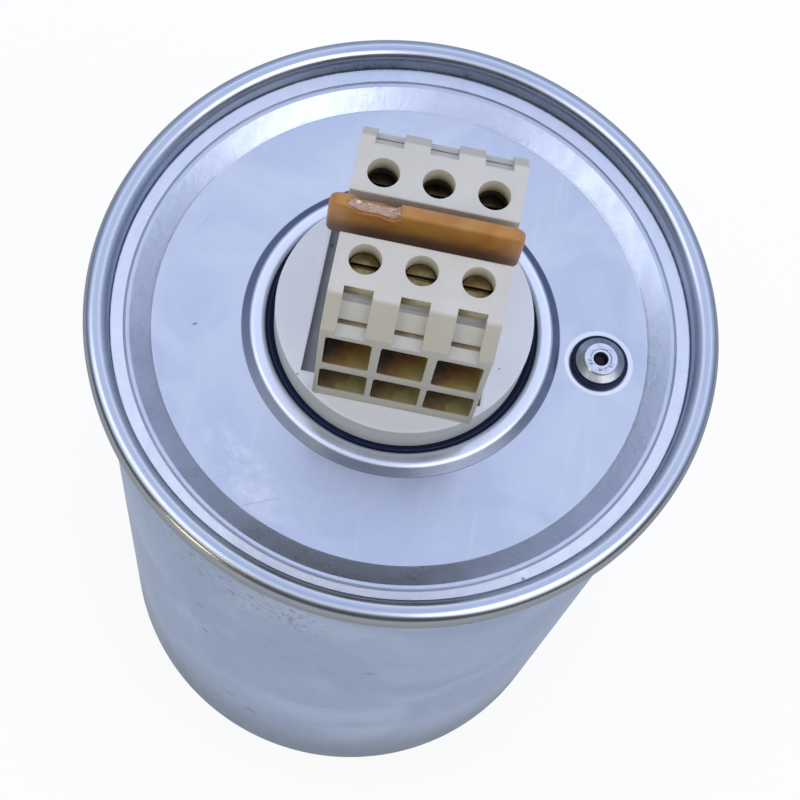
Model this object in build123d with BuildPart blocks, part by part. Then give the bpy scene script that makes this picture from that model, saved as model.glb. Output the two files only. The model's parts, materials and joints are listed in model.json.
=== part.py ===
from build123d import *
import os
from math import cos, radians, sin, sqrt

os.makedirs("parts", exist_ok=True)

# Power factor correction capacitor: a seamed aluminium can, fixed by the stud in its base.
# The origin is the centre of the base plane, +Z runs up the can, and the cables enter along +Y and -Y.
# All sizes are in millimetres.

# How far every cutting shape runs past the face it opens
overcut = 1.0

# Can and its fixing stud
can_radius = 58.0
can_height = 164.0
can_wall = 1.0
base_thickness = 3.0
base_corner = 4.5
inner_corner = 2.5
stud_radius = 6.0
stud_length = 16.0
stud_chamfer = 1.0

# Lid sheet and the double seam that closes the can
lid_sheet = 0.9
seam_height = 5.6
hook_gap = 0.5
shelf_depth = 5.2
shelf_width = 3.7
cone_top_depth = 5.95
cone_width = 4.2
panel_depth = 8.4
groove_offset = 0.9
groove_half_width = 0.3
groove_depth = 0.3

# Bend radii on the lid's upper side, from its lip out to the chuck wall
lip_bend = 1.05
swage_bend = 1.15
swage_heel_bend = 0.2
panel_bend = 1.35
shelf_bend = 1.35
chuck_bend = 0.45

# Swage of the lid round the terminal
lip_length = 1.7
swage_flat = 2.75
swage_slope = 1.9
swage_height = 1.5

# Terminal base, its gasket and the ring that holds it under the lid
disc_radius = 24.8
disc_depth = 1.0
disc_edge = 0.5
gasket_width = 1.55
gasket_thickness = 1.5
gasket_margin = 0.6
lip_ease = 0.2
gasket_ridge_radius = 0.45
gasket_drop = 1.1
flange_reach = 4.6
flange_thickness = 3.2
boss_radius = 20.0
boss_length = 5.0
well_side_gap = 2.0
well_depth = 5.0
well_corner = 1.2
potting_drop = 1.35
pad_height = 0.35
pad_margin = 0.8
pad_corner = 2.2
pad_overhang = 0.25
ring_sheet = 0.8
ring_clearance = 0.5
ring_bore_gap = 3.0
ring_foot = 2.8

# Terminal housings
block_shift = 0.86
housing_margin = 0.3
housing_top = 34.04
channel_width = 8.3
crest_reach = 15.3
face_reach = 20.3
slope_depth = 5.7
foot_inset = 4.4
foot_clearance = 0.5
edge_round = 0.3
pole_pitch = 9.8
pole_count = 3
screw_hole_clearance = 0.26
chamber_divider = 1.6
chamber_bottom = 13.9
chamber_height = 11.6
cored_divider = 1.1
cored_bottom = 2.4
cored_height = 9.0
chamber_corner = 0.7
back_wall = 1.5
notch_width = 5.1
notch_back = 14.0
notch_depth = 2.6
notch_floor_length = 1.65
slot_drop = 5.2
slot_height = 0.55
slot_length = 2.9
lip_drop = 6.95
nick_width = 0.55
nick_inset = 0.75
nick_reach = 1.5
nick_lift = 0.4
nick_rise = 1.9
nick_crown = 2.6

# Clamps and current bars
cage_clearance = 0.3
cage_back_clearance = 0.27
cage_wall = 1.1
cage_top = 2.6
cage_depth = 5.2
cage_corner = 0.8
bar_play = 0.4
bar_thickness = 1.7
bar_corner = 1.15
bar_headroom = 1.2
bar_clearance = 0.1
bar_overhang = 1.4
stem_radius = 1.6
stem_clearance = 0.1
stem_tail = 2.5
screw_radius = 2.0
screw_head_radius = 2.62
screw_head_height = 2.9
screw_slot_width = 0.9
screw_slot_depth = 1.1
front_screw_lift = 2.0
rear_head_depth = 5.0

# Discharge module
module_overhang = 2.0
module_top_rise = 3.9
module_seat_depth = 7.0
module_thickness = 2.5
module_corner = 2.0
module_round = 0.55
coat_thickness = 0.4
module_pin_width = 1.8
module_pin_thickness = 0.6
module_pin_hold = 2.5
module_pin_clearance = 0.1
chip_centre = -9.25
chip_length = 9.4
chip_front_drop = 2.3
board_chip_depth = 1.2
chip_back_drop = 1.75
chip_margin = 0.3
# Lower line of the chip from left to right, as shares of its length and of its drop
chip_line = [(0.0, 0.1), (0.12, 0.3), (0.24, 0.85), (0.45, 0.74), (0.64, 0.7), (0.77, 0.98), (0.92, 1.0), (1.0, 0.5)]

# Blind rivet that closes the filling hole
valve_offset = 0.6
valve_angle = 1.0
valve_seat_gap = 0.45
valve_seat_flare = 0.4
valve_seat_depth = 0.35
seal_reach = 0.87
seal_thickness = 1.2
seal_round = 0.5
rivet_flange_radius = 4.78
rivet_flange_edge = 0.45
rivet_height = 2.4
rivet_boss_radius = 3.3
rivet_shank_radius = 2.2
rivet_hole_clearance = 0.15
rivet_bore_radius = 1.45
rivet_bulb_radius = 3.2
rivet_bulb_length = 3.0
rivet_tail = 1.5
rivet_pin_clearance = 0.1
rivet_pin_depth = 1.2
rivet_pin_chamfer = 0.45

# Winding and its insulation
cup_thickness = 1.5
cup_wall = 1.2
cup_height = 22.0
cup_clearance = 0.4
lead_space = 3.7
winding_head_room = 5.9
winding_side_gap = 2.0
core_radius = 11.0
core_wall = 2.0
separator_thickness = 0.6
sleeve_thickness = 1.0
contact_thickness = 0.8
hold_down_wall = 1.6
support_width = 3.0

# Leads
lead_radius = 1.1
lead_bend = 2.4
sleeve_radius = 3.0
crimp_length = 5.0
lead_offset = 1.4
core_lead_pitch = 4.6
jog_share = 0.35

# Derived sizes of the seam, from the can wall outwards
body_inside = can_radius - can_wall
chuck_radius = body_inside - lid_sheet
hook_inside = can_radius + lid_sheet
hook_outside = hook_inside + can_wall
rim_radius = hook_outside + lid_sheet
bead_radius = (rim_radius - chuck_radius) / 2
fold_z = can_height - bead_radius
hem_radius = (rim_radius - can_radius) / 2
hem_z = can_height - seam_height + hem_radius
body_hook_end = hem_z + hook_gap
cover_hook_end = fold_z - hook_gap

# Derived radii of the lid, from the chuck wall inwards
cone_top_radius = chuck_radius - shelf_width
groove_radius = cone_top_radius + groove_offset
panel_radius = cone_top_radius - cone_width

# Derived radii round the terminal, from its disc outwards
lip_radius = disc_radius + gasket_width
swage_flat_radius = lip_radius + swage_flat
swage_radius = swage_flat_radius + swage_slope
flange_radius = disc_radius + flange_reach
ring_bore_radius = boss_radius + ring_bore_gap

# Derived heights of the lid and the terminal base
shelf_z = can_height - shelf_depth
cone_top_z = can_height - cone_top_depth
panel_z = can_height - panel_depth
swage_z = panel_z + swage_height
swage_under_z = swage_z - lid_sheet
disc_z = can_height - disc_depth
flange_top = swage_under_z - gasket_thickness
flange_bottom = flange_top - flange_thickness
boss_bottom = flange_bottom - boss_length
well_floor = disc_z - well_depth
pad_z = disc_z + pad_height

# Derived positions in the terminal block
housing_width = pole_count * pole_pitch + 2 * housing_margin
foot_reach = face_reach - foot_inset
well_half_width = housing_width / 2 + well_side_gap
well_half_length = foot_reach + foot_clearance
chamber_width = pole_pitch - chamber_divider
cored_width = pole_pitch - cored_divider
screw_hole_radius = screw_head_radius + screw_hole_clearance
top_z = can_height + housing_top
crest_z = top_z - slope_depth
half_channel = channel_width / 2
chamber_z = can_height + chamber_bottom + chamber_height / 2
cored_z = can_height + cored_bottom + cored_height / 2
chamber_back = half_channel + back_wall
slope_rate = slope_depth / (face_reach - crest_reach)
screw_reach = chamber_back + cage_back_clearance + cage_depth / 2
pole_x = [block_shift + pole_pitch * (i - (pole_count - 1) / 2) for i in range(pole_count)]
cage_width = chamber_width - 2 * cage_clearance
cage_height = chamber_height - 2 * cage_clearance
cage_bottom = can_height + chamber_bottom + cage_clearance
bar_width = cage_width - 2 * (cage_wall + bar_play)
bar_top = cage_bottom + cage_height - cage_top - bar_headroom
bar_bottom = bar_top - bar_thickness
bar_reach = screw_reach + cage_depth / 2 + bar_overhang
rear_head_top = top_z - rear_head_depth
screw_length = rear_head_top - screw_head_height - bar_top
seat_z = top_z - module_seat_depth
module_top = top_z + module_top_rise
module_width = housing_width + 2 * module_overhang
stem_bottom = boss_bottom - stem_tail

# Derived sizes of the winding, which fills the can up to the leads
cup_floor = base_thickness + cup_thickness
contact_bottom = cup_floor + lead_space
winding_bottom = contact_bottom + contact_thickness
crimp_bottom = stem_bottom - crimp_length
contact_top = crimp_bottom - winding_head_room
winding_top = contact_top - contact_thickness
winding_radius = body_inside - winding_side_gap - sleeve_thickness
sleeve_radius_outside = winding_radius + sleeve_thickness

# Derived place of the filling rivet and sizes of its seal and seat
valve_radius = (swage_radius + panel_radius) / 2 - valve_offset
seal_radius = rivet_flange_radius + seal_reach
valve_seat_radius = seal_radius + valve_seat_gap
valve_x = valve_radius * cos(radians(valve_angle))
valve_y = valve_radius * sin(radians(valve_angle))
valve_plane = Plane(origin=(valve_x, valve_y, 0), x_dir=(1, 0, 0), z_dir=(0, -1, 0))
valve_axis = Axis((valve_x, valve_y, 0), (0, 0, 1))


def keep(piece, name):
    """Label one finished piece and write it."""
    piece.label = name
    export_step(piece, f"parts/{name}.step")


def shelf_top(radius):
    """Height of the lid's sloping shelf at a radius."""
    slope = (shelf_z - cone_top_z) / (chuck_radius - cone_top_radius)
    return cone_top_z + slope * (radius - cone_top_radius)


def shelf_under(radius):
    """Height of the underside of that shelf."""
    rise = (shelf_z - cone_top_z) / (chuck_radius - cone_top_radius)
    return shelf_top(radius) - lid_sheet * sqrt(1 + rise * rise)


def sheet_side(corners, bends, depth):
    """Corners and bend radii of the side of a folded sheet that lies a depth to the right of another."""
    runs = [(Vector(*b) - Vector(*a)).normalized() for a, b in zip(corners, corners[1:])]
    normals = [Vector(run.Y, -run.X) for run in runs]
    places = [Vector(*corners[0]) + normals[0] * depth]
    radii = []
    for i, bend in enumerate(bends):
        mitre = (normals[i] + normals[i + 1]) / (1 + normals[i].dot(normals[i + 1]))
        places.append(Vector(*corners[i + 1]) + mitre * depth)
        left_turn = runs[i].cross(runs[i + 1]).Z > 0
        radii.append(bend + depth if left_turn else bend - depth)
    places.append(Vector(*corners[-1]) + normals[-1] * depth)
    return places, radii


def ring(inside, outside, bottom, top):
    """A plain ring round the can's axis."""
    with BuildPart() as piece:
        with BuildSketch(Plane.XY.offset(bottom)):
            Circle(outside)
            Circle(inside, mode=Mode.SUBTRACT)
        extrude(amount=top - bottom)
    return piece.part


# The can is one impact extrusion with its stud, and its mouth is turned down as the body hook
with BuildPart() as can:
    with BuildSketch(Plane.XZ):
        with BuildLine():
            Polyline(
                (0, -stud_length),
                (stud_radius - stud_chamfer, -stud_length),
                (stud_radius, stud_chamfer - stud_length),
                (stud_radius, 0),
                (can_radius - base_corner, 0),
            )
            JernArc((can_radius - base_corner, 0), (1, 0), base_corner, 90)
            Line((can_radius, base_corner), (can_radius, fold_z))
            JernArc((can_radius, fold_z), (0, 1), (hook_inside - can_radius) / 2, -180)
            Polyline(
                (hook_inside, fold_z),
                (hook_inside, body_hook_end),
                (hook_outside, body_hook_end),
                (hook_outside, fold_z),
            )
            JernArc((hook_outside, fold_z), (0, 1), (hook_outside - body_inside) / 2, 180)
            Line((body_inside, fold_z), (body_inside, base_thickness + inner_corner))
            JernArc((body_inside, base_thickness + inner_corner), (0, -1), inner_corner, -90)
            Polyline(
                (body_inside - inner_corner, base_thickness),
                (0, base_thickness),
                (0, -stud_length),
            )
        make_face()
    revolve(axis=Axis.Z)
keep(can.part, "can")


# The lid is one pressing: lip, swage, panel, cone, shelf, chuck wall, bead and cover hook
lid_corners = [
    (lip_radius, swage_z - lip_length),
    (lip_radius, swage_z),
    (swage_flat_radius, swage_z),
    (swage_radius, panel_z),
    (panel_radius, panel_z),
    (cone_top_radius, cone_top_z),
    (chuck_radius, shelf_z),
    (chuck_radius, fold_z),
]
lid_bends = [lip_bend, swage_bend, swage_heel_bend, panel_bend, shelf_bend, chuck_bend]
under_corners, under_bends = sheet_side(lid_corners, lid_bends, lid_sheet)
with BuildPart() as lid:
    with BuildSketch(Plane.XZ):
        with BuildLine():
            upper = FilletPolyline(*lid_corners, radius=lid_bends)
            JernArc((chuck_radius, fold_z), (0, 1), bead_radius, -180)
            Line((rim_radius, fold_z), (rim_radius, hem_z))
            JernArc((rim_radius, hem_z), (0, -1), hem_radius, -180)
            Polyline(
                (can_radius, hem_z),
                (can_radius, cover_hook_end),
                (hook_inside, cover_hook_end),
                (hook_inside, hem_z),
            )
            JernArc((hook_inside, hem_z), (0, -1), (hook_outside - hook_inside) / 2, 180)
            Line((hook_outside, hem_z), (hook_outside, fold_z))
            JernArc((hook_outside, fold_z), (0, 1), (hook_outside - body_inside) / 2, 180)
            under = FilletPolyline(*under_corners, radius=under_bends)
            Line(upper @ 0, under @ 0)
        make_face()
    revolve(axis=Axis.Z)
    # Fine pressed line where the shelf meets the cone
    with BuildSketch(Plane.XZ):
        with BuildLine():
            Polyline(
                (groove_radius, shelf_top(groove_radius) - groove_depth),
                (groove_radius + groove_half_width, shelf_top(groove_radius) + groove_depth),
                (groove_radius - groove_half_width, shelf_top(groove_radius) + groove_depth),
                close=True,
            )
        make_face()
    revolve(axis=Axis.Z, mode=Mode.SUBTRACT)
    # Coined seat and hole of the filling rivet
    with BuildSketch(valve_plane):
        with BuildLine():
            Polyline(
                (0, panel_z - valve_seat_depth),
                (valve_seat_radius, panel_z - valve_seat_depth),
                (valve_seat_radius + valve_seat_flare, panel_z + valve_seat_flare),
                (valve_seat_radius + valve_seat_flare, panel_z + seal_thickness),
                (0, panel_z + seal_thickness),
                close=True,
            )
        make_face()
    revolve(axis=valve_axis, mode=Mode.SUBTRACT)
    with BuildSketch(Plane.XY.offset(panel_z)):
        with Locations((valve_x, valve_y)):
            Circle(rivet_shank_radius + rivet_hole_clearance)
    extrude(amount=2 * lid_sheet, both=True, mode=Mode.SUBTRACT)
keep(lid.part, "lid")


# Sealing compound in the two hollows of the seam, off the end of each hook
with BuildPart() as seam_compound:
    with BuildSketch(Plane.XZ):
        with BuildLine():
            Polyline(
                (can_radius, cover_hook_end),
                (hook_inside, cover_hook_end),
                (hook_inside, fold_z),
                (can_radius, fold_z),
                close=True,
            )
        make_face()
        with BuildLine():
            Polyline(
                (hook_inside, hem_z),
                (hook_outside, hem_z),
                (hook_outside, body_hook_end),
                (hook_inside, body_hook_end),
                close=True,
            )
        make_face()
    revolve(axis=Axis.Z)
keep(seam_compound.part, "seam_compound")


# Moulded terminal base: disc through the lid, sealing flange under it, boss below
with BuildPart() as terminal_base:
    with BuildSketch(Plane.XZ):
        with BuildLine():
            Polyline(
                (0, boss_bottom),
                (boss_radius, boss_bottom),
                (boss_radius, flange_bottom),
                (flange_radius, flange_bottom),
                (flange_radius, flange_top),
                (disc_radius, flange_top),
                (disc_radius, disc_z - disc_edge),
                (disc_radius - disc_edge, disc_z),
                (0, disc_z),
                close=True,
            )
        make_face()
    revolve(axis=Axis.Z)
    # Raised frame round the well, with cut corners
    with BuildSketch(Plane.XY.offset(disc_z)):
        Rectangle(2 * (well_half_width + pad_margin), 2 * (face_reach + pad_overhang))
        chamfer(vertices(), length=pad_corner)
        Circle(disc_radius - disc_edge, mode=Mode.INTERSECT)
    extrude(amount=pad_height)
    # Well for the feet of the terminal block
    with BuildSketch(Plane.XY.offset(well_floor)):
        RectangleRounded(2 * well_half_width, 2 * well_half_length, well_corner)
    extrude(amount=well_depth + pad_height, mode=Mode.SUBTRACT)
    with BuildSketch(Plane.XY.offset(boss_bottom)):
        with Locations(*[(x, 0) for x in pole_x]):
            Circle(stem_radius + stem_clearance)
    extrude(amount=well_floor - boss_bottom, mode=Mode.SUBTRACT)
keep(terminal_base.part, "terminal_base")


# Rubber gasket: a collar between disc and lip, on a flat skirt between flange and swage
gasket_collar_top = swage_z - gasket_drop
with BuildPart() as terminal_gasket:
    with BuildSketch(Plane.XZ):
        with BuildLine():
            Polyline(
                (disc_radius, flange_top),
                (swage_flat_radius - gasket_margin, flange_top),
                (swage_flat_radius - gasket_margin, swage_under_z),
                (lip_radius + lid_sheet + lip_ease, swage_under_z),
                (lip_radius + lid_sheet, swage_under_z - lip_ease),
                (lip_radius + lid_sheet, swage_z - lip_length),
                (lip_radius, swage_z - lip_length),
                (lip_radius, gasket_collar_top),
                (disc_radius, gasket_collar_top),
                close=True,
            )
        make_face()
        with Locations(((disc_radius + lip_radius) / 2, gasket_collar_top)):
            Circle(gasket_ridge_radius)
    revolve(axis=Axis.Z)
keep(terminal_gasket.part, "terminal_gasket")


# Pressed steel ring, welded under the panel, that carries the flange
ring_inside = flange_radius + ring_clearance
with BuildPart() as retaining_ring:
    with BuildSketch(Plane.XZ):
        with BuildLine():
            Polyline(
                (ring_bore_radius, flange_bottom - ring_sheet),
                (ring_inside + ring_sheet, flange_bottom - ring_sheet),
                (ring_inside + ring_sheet, panel_z - lid_sheet - ring_sheet),
                (ring_inside + ring_foot, panel_z - lid_sheet - ring_sheet),
                (ring_inside + ring_foot, panel_z - lid_sheet),
                (swage_radius, panel_z - lid_sheet),
                (ring_inside, panel_z - lid_sheet - ring_sheet),
                (ring_inside, flange_bottom),
                (ring_bore_radius, flange_bottom),
                close=True,
            )
        make_face()
    revolve(axis=Axis.Z)
keep(retaining_ring.part, "terminal_retaining_ring")


# Grey potting compound that sets the feet of the block in the well
potting_top = disc_z - potting_drop
with BuildPart() as potting_compound:
    with BuildSketch(Plane.XY.offset(well_floor)):
        RectangleRounded(2 * well_half_width, 2 * well_half_length, well_corner)
        with Locations((block_shift, 0)):
            Rectangle(housing_width, 2 * foot_reach, mode=Mode.SUBTRACT)
    extrude(amount=potting_top - well_floor)
keep(potting_compound.part, "potting_compound")


def terminal_housing(side):
    """One three-pole moulding; side is -1 for the front row and 1 for the rear row."""
    # Points of the side view, as distances from the block's middle and heights
    slot_bottom = slot_drop + slot_height
    slot_mouth = notch_back + notch_floor_length + (slot_bottom - notch_depth) / slope_rate
    with BuildPart() as housing:
        with BuildSketch(Plane.YZ.offset(block_shift)):
            with BuildLine():
                Polyline(
                    (side * half_channel, well_floor),
                    (side * half_channel, top_z),
                    (side * crest_reach, top_z),
                    (side * face_reach, crest_z),
                    (side * face_reach, pad_z),
                    (side * foot_reach, pad_z),
                    (side * foot_reach, well_floor),
                    close=True,
                )
            make_face()
        extrude(amount=housing_width / 2, both=True)
        outer = housing.edges().filter_by(Axis.Z).filter_by(lambda e: e.length > housing_top / 2)
        upper = housing.edges().filter_by(Axis.X).filter_by(lambda e: e.center().Z > crest_z - edge_round)
        fillet(outer + upper, radius=edge_round)
        for x in pole_x:
            # Stepped notch in the sloping front: pocket, cross bar, slot and lip
            with BuildSketch(Plane.YZ.offset(x)):
                with BuildLine():
                    Polyline(
                        (side * notch_back, top_z + overcut),
                        (side * notch_back, top_z - notch_depth),
                        (side * (notch_back + notch_floor_length), top_z - notch_depth),
                        (side * slot_mouth, top_z - slot_bottom),
                        (side * face_reach, top_z - lip_drop),
                        (side * (face_reach + overcut), top_z - lip_drop),
                        (side * (face_reach + overcut), top_z + overcut),
                        close=True,
                    )
                make_face()
                with Locations((side * (face_reach - slot_length / 2), top_z - slot_drop - slot_height / 2)):
                    Rectangle(slot_length, slot_height)
            extrude(amount=notch_width / 2, both=True, mode=Mode.SUBTRACT)
            # Clamp chamber above, cored chamber below
            with BuildSketch(Plane.XZ.offset(-side * chamber_back)):
                with Locations((x, chamber_z)):
                    RectangleRounded(chamber_width, chamber_height, chamber_corner)
                with Locations((x, cored_z)):
                    RectangleRounded(cored_width, cored_height, chamber_corner)
            extrude(amount=-side * (face_reach + overcut - chamber_back), mode=Mode.SUBTRACT)
            with BuildSketch(Plane.XY.offset(chamber_z)):
                with Locations((x, side * screw_reach)):
                    Circle(screw_hole_radius)
            extrude(amount=top_z + overcut - chamber_z, mode=Mode.SUBTRACT)
            # Passage of the current bar through the back wall
            with BuildSketch(Plane.XZ.offset(-side * half_channel)):
                with Locations((x, (bar_top + bar_bottom) / 2)):
                    Rectangle(bar_width + 2 * bar_clearance, bar_thickness + 2 * bar_clearance)
            extrude(amount=-side * back_wall, mode=Mode.SUBTRACT)
        if side < 0:
            # Chipped corner of the left pier, at the foot of its slope
            with BuildSketch(Plane.YZ.offset(block_shift - housing_width / 2)):
                with BuildLine():
                    Polyline(
                        (-face_reach - overcut, crest_z + nick_lift),
                        (-face_reach + nick_inset, crest_z + nick_lift),
                        (-face_reach + nick_reach, crest_z + nick_rise),
                        (-face_reach - overcut, crest_z + nick_crown),
                        close=True,
                    )
                make_face()
            extrude(amount=nick_width, mode=Mode.SUBTRACT)
    return housing.part


keep(terminal_housing(-1), "front_terminal_housing")
keep(terminal_housing(1), "rear_terminal_housing")


# Moulded spine between the housings: it carries the bars and the module
with BuildPart() as contact_spine:
    with BuildSketch(Plane.XY.offset(well_floor)):
        with Locations((block_shift, 0)):
            Rectangle(housing_width, channel_width)
    extrude(amount=seat_z - well_floor)
    with BuildSketch(Plane.XZ):
        with Locations(*[(x, (bar_top + bar_bottom) / 2) for x in pole_x]):
            Rectangle(bar_width + 2 * bar_clearance, bar_thickness + 2 * bar_clearance)
    extrude(amount=half_channel + overcut, both=True, mode=Mode.SUBTRACT)
    with BuildSketch(Plane.XY.offset(well_floor)):
        with Locations(*[(x, 0) for x in pole_x]):
            Circle(stem_radius + stem_clearance)
    extrude(amount=bar_bottom - well_floor, mode=Mode.SUBTRACT)
    with BuildSketch(Plane.XY.offset(bar_top)):
        with Locations(*[(x, 0) for x in pole_x]):
            Rectangle(
                module_pin_width + 2 * module_pin_clearance,
                module_pin_thickness + 2 * module_pin_clearance,
            )
    extrude(amount=seat_z - bar_top, mode=Mode.SUBTRACT)
keep(contact_spine.part, "contact_spine")


def clamp_cage(x, side):
    """Lifting cage of one clamp, open along the cable's way in; the front ones are let down."""
    foot = cage_bottom - (cage_clearance if side < 0 else 0)
    with BuildPart() as cage:
        with BuildSketch(Plane.XZ.offset(-side * (screw_reach - cage_depth / 2))):
            with Locations((x, foot + cage_height / 2)):
                RectangleRounded(cage_width, cage_height, cage_corner)
            with Locations((x, foot + (cage_height + cage_wall - cage_top) / 2)):
                Rectangle(
                    cage_width - 2 * cage_wall,
                    cage_height - cage_wall - cage_top,
                    mode=Mode.SUBTRACT,
                )
        extrude(amount=-side * cage_depth)
        with BuildSketch(Plane.XY.offset(foot + cage_height)):
            with Locations((x, side * screw_reach)):
                Circle(screw_radius)
        extrude(amount=-cage_top, mode=Mode.SUBTRACT)
    return cage.part


for row, side in (("front", -1), ("rear", 1)):
    for number, x in enumerate(pole_x, start=1):
        keep(clamp_cage(x, side), f"{row}_clamp_cage_{number}")


# Six slotted clamp screws; the front three are backed out a little
screw_places = [(x, -screw_reach, front_screw_lift) for x in pole_x]
screw_places += [(x, screw_reach, 0) for x in pole_x]
with BuildPart() as clamp_screws:
    for x, y, lift in screw_places:
        with Locations((x, y, bar_top + lift)):
            Cylinder(screw_radius, screw_length, align=(Align.CENTER, Align.CENTER, Align.MIN))
        with Locations((x, y, rear_head_top + lift)):
            Cylinder(screw_head_radius, screw_head_height, align=(Align.CENTER, Align.CENTER, Align.MAX))
            Box(
                2 * (screw_head_radius + overcut),
                screw_slot_width,
                screw_slot_depth,
                align=(Align.CENTER, Align.CENTER, Align.MAX),
                mode=Mode.SUBTRACT,
            )
keep(clamp_screws.part, "clamp_screws")


def current_bar(x):
    """Bar of one pole through both rows, with the stem that goes down into the can."""
    with BuildPart() as bar:
        with BuildSketch(Plane.XY.offset(bar_bottom)):
            with Locations((x, 0)):
                RectangleRounded(bar_width, 2 * bar_reach, bar_corner)
        extrude(amount=bar_thickness)
        with BuildSketch(Plane.XY.offset(stem_bottom)):
            with Locations((x, 0)):
                Circle(stem_radius)
        extrude(amount=bar_bottom - stem_bottom)
    return bar.part


for number, x in enumerate(pole_x, start=1):
    keep(current_bar(x), f"current_bar_{number}")


# Contact pins of the discharge module, from its board down to the bars
with BuildPart() as discharge_pins:
    with BuildSketch(Plane.XY.offset(bar_top)):
        with Locations(*[(x, 0) for x in pole_x]):
            Rectangle(module_pin_width, module_pin_thickness)
    extrude(amount=seat_z + module_pin_hold - bar_top)
keep(discharge_pins.part, "discharge_pins")


module_height = module_top - seat_z
module_middle = (module_top + seat_z) / 2
board_thickness = module_thickness - 2 * coat_thickness


def chip_outline(length, upper_z, drop):
    """Outline of the broken patch, as seen from the front, open above the module."""
    left = chip_centre - length / 2
    lower = [(left + length * along, upper_z - drop * down) for along, down in chip_line]
    corners = [(left, module_top + overcut), *lower, (left + length, module_top + overcut)]
    return Polyline(*corners, close=True)


# Ceramic board of the discharge module, with its upper edge broken where the coating is gone
with BuildPart() as discharge_board:
    with BuildSketch(Plane.XZ):
        with Locations((0, module_middle)):
            RectangleRounded(
                module_width - 2 * coat_thickness,
                module_height - 2 * coat_thickness,
                module_corner - coat_thickness,
            )
    extrude(amount=board_thickness / 2, both=True)
    with BuildSketch(Plane.XZ):
        with BuildLine():
            chip_outline(chip_length - 4 * chip_margin, module_top - coat_thickness, board_chip_depth)
        make_face()
    extrude(amount=board_thickness, both=True, mode=Mode.SUBTRACT)
    add(discharge_pins.part, mode=Mode.SUBTRACT)
keep(discharge_board.part, "discharge_board")


# Orange coating all round the board, broken away along part of its top edge
with BuildPart() as discharge_coating:
    with BuildSketch(Plane.XZ):
        with Locations((0, module_middle)):
            RectangleRounded(module_width, module_height, module_corner)
    extrude(amount=module_thickness / 2, both=True)
    rims = discharge_coating.faces().filter_by(Axis.Y).edges()
    fillet(rims, radius=module_round)
    with BuildSketch(Plane.XZ):
        with Locations((0, module_middle)):
            RectangleRounded(
                module_width - 2 * coat_thickness,
                module_height - 2 * coat_thickness,
                module_corner - coat_thickness,
            )
    extrude(amount=board_thickness / 2, both=True, mode=Mode.SUBTRACT)
    with BuildSketch(Plane.XZ):
        with BuildLine():
            chip_outline(chip_length, module_top, chip_front_drop)
        make_face()
    extrude(amount=module_thickness, mode=Mode.SUBTRACT)
    with BuildSketch(Plane.XZ):
        with BuildLine():
            chip_outline(chip_length - chip_margin, module_top, chip_back_drop)
        make_face()
    extrude(amount=-module_thickness, mode=Mode.SUBTRACT)
    add(discharge_pins.part, mode=Mode.SUBTRACT)
keep(discharge_coating.part, "discharge_coating")


# Rubber washer of the filling rivet
seat_face = panel_z - valve_seat_depth
with BuildPart() as rivet_seal:
    with BuildSketch(valve_plane):
        with BuildLine():
            Polyline(
                (rivet_shank_radius, seat_face),
                (seal_radius, seat_face),
                (seal_radius, seat_face + seal_thickness),
                (rivet_shank_radius, seat_face + seal_thickness),
                close=True,
            )
        make_face()
        outside_corners = vertices().group_by(Axis.X)[-1]
        fillet(outside_corners, radius=seal_round)
    revolve(axis=valve_axis)
keep(rivet_seal.part, "filling_rivet_seal")


# Closed-end rivet body: domed head over the washer, shank through the lid, bulb set below it
head_z = seat_face + seal_thickness
head_top = panel_z + rivet_height
lid_under = panel_z - lid_sheet
with BuildPart() as rivet_body:
    with BuildSketch(valve_plane):
        with BuildLine():
            Polyline(
                (rivet_shank_radius, head_z),
                (rivet_flange_radius, head_z),
                (rivet_flange_radius, head_z + rivet_flange_edge),
                (rivet_boss_radius, head_top),
                (rivet_bore_radius, head_top),
                (rivet_bore_radius, lid_under - rivet_bulb_length),
                (0, lid_under - rivet_bulb_length),
                (0, lid_under - rivet_bulb_length - rivet_tail),
                (rivet_shank_radius, lid_under - rivet_bulb_length - rivet_tail),
                (rivet_shank_radius, lid_under - rivet_bulb_length),
                (rivet_bulb_radius, lid_under - rivet_bulb_length / 2),
                (rivet_bulb_radius, lid_under),
                (rivet_shank_radius, lid_under),
                close=True,
            )
        make_face()
    revolve(axis=valve_axis)
keep(rivet_body.part, "filling_rivet_body")


# Rest of the pulled pin, broken off below the rivet's mouth
with BuildPart() as rivet_pin:
    pin_foot = lid_under - rivet_bulb_length
    with BuildSketch(Plane.XY.offset(pin_foot)):
        with Locations((valve_x, valve_y)):
            Circle(rivet_bore_radius - rivet_pin_clearance)
    extrude(amount=head_top - rivet_pin_depth - pin_foot)
    chamfer(rivet_pin.edges().group_by(Axis.Z)[-1], length=rivet_pin_chamfer)
keep(rivet_pin.part, "filling_rivet_pin")


# Three partial windings of equal area, one round the other, on a plastic core tube
def equal_area_radii():
    """Boundary radii that give each partial winding the same area of section."""
    share = (winding_radius**2 - core_radius**2) / pole_count
    return [sqrt(core_radius**2 + share * i) for i in range(pole_count + 1)]


boundaries = equal_area_radii()
winding_names = ["inner", "middle", "outer"]
contact_rings = []
for i, name in enumerate(winding_names):
    inside = boundaries[i] + (separator_thickness / 2 if i > 0 else 0)
    outside = boundaries[i + 1] - (separator_thickness / 2 if i < pole_count - 1 else 0)
    contact_rings.append((inside, outside))
    keep(ring(inside, outside, winding_bottom, winding_top), f"{name}_winding")
for i, name in enumerate(["inner", "outer"], start=1):
    half = separator_thickness / 2
    keep(
        ring(boundaries[i] - half, boundaries[i] + half, contact_bottom, contact_top),
        f"{name}_winding_separator",
    )
keep(ring(core_radius - core_wall, core_radius, contact_bottom, contact_top), "winding_core_tube")
keep(ring(winding_radius, sleeve_radius_outside, contact_bottom, contact_top), "winding_sleeve")


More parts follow.
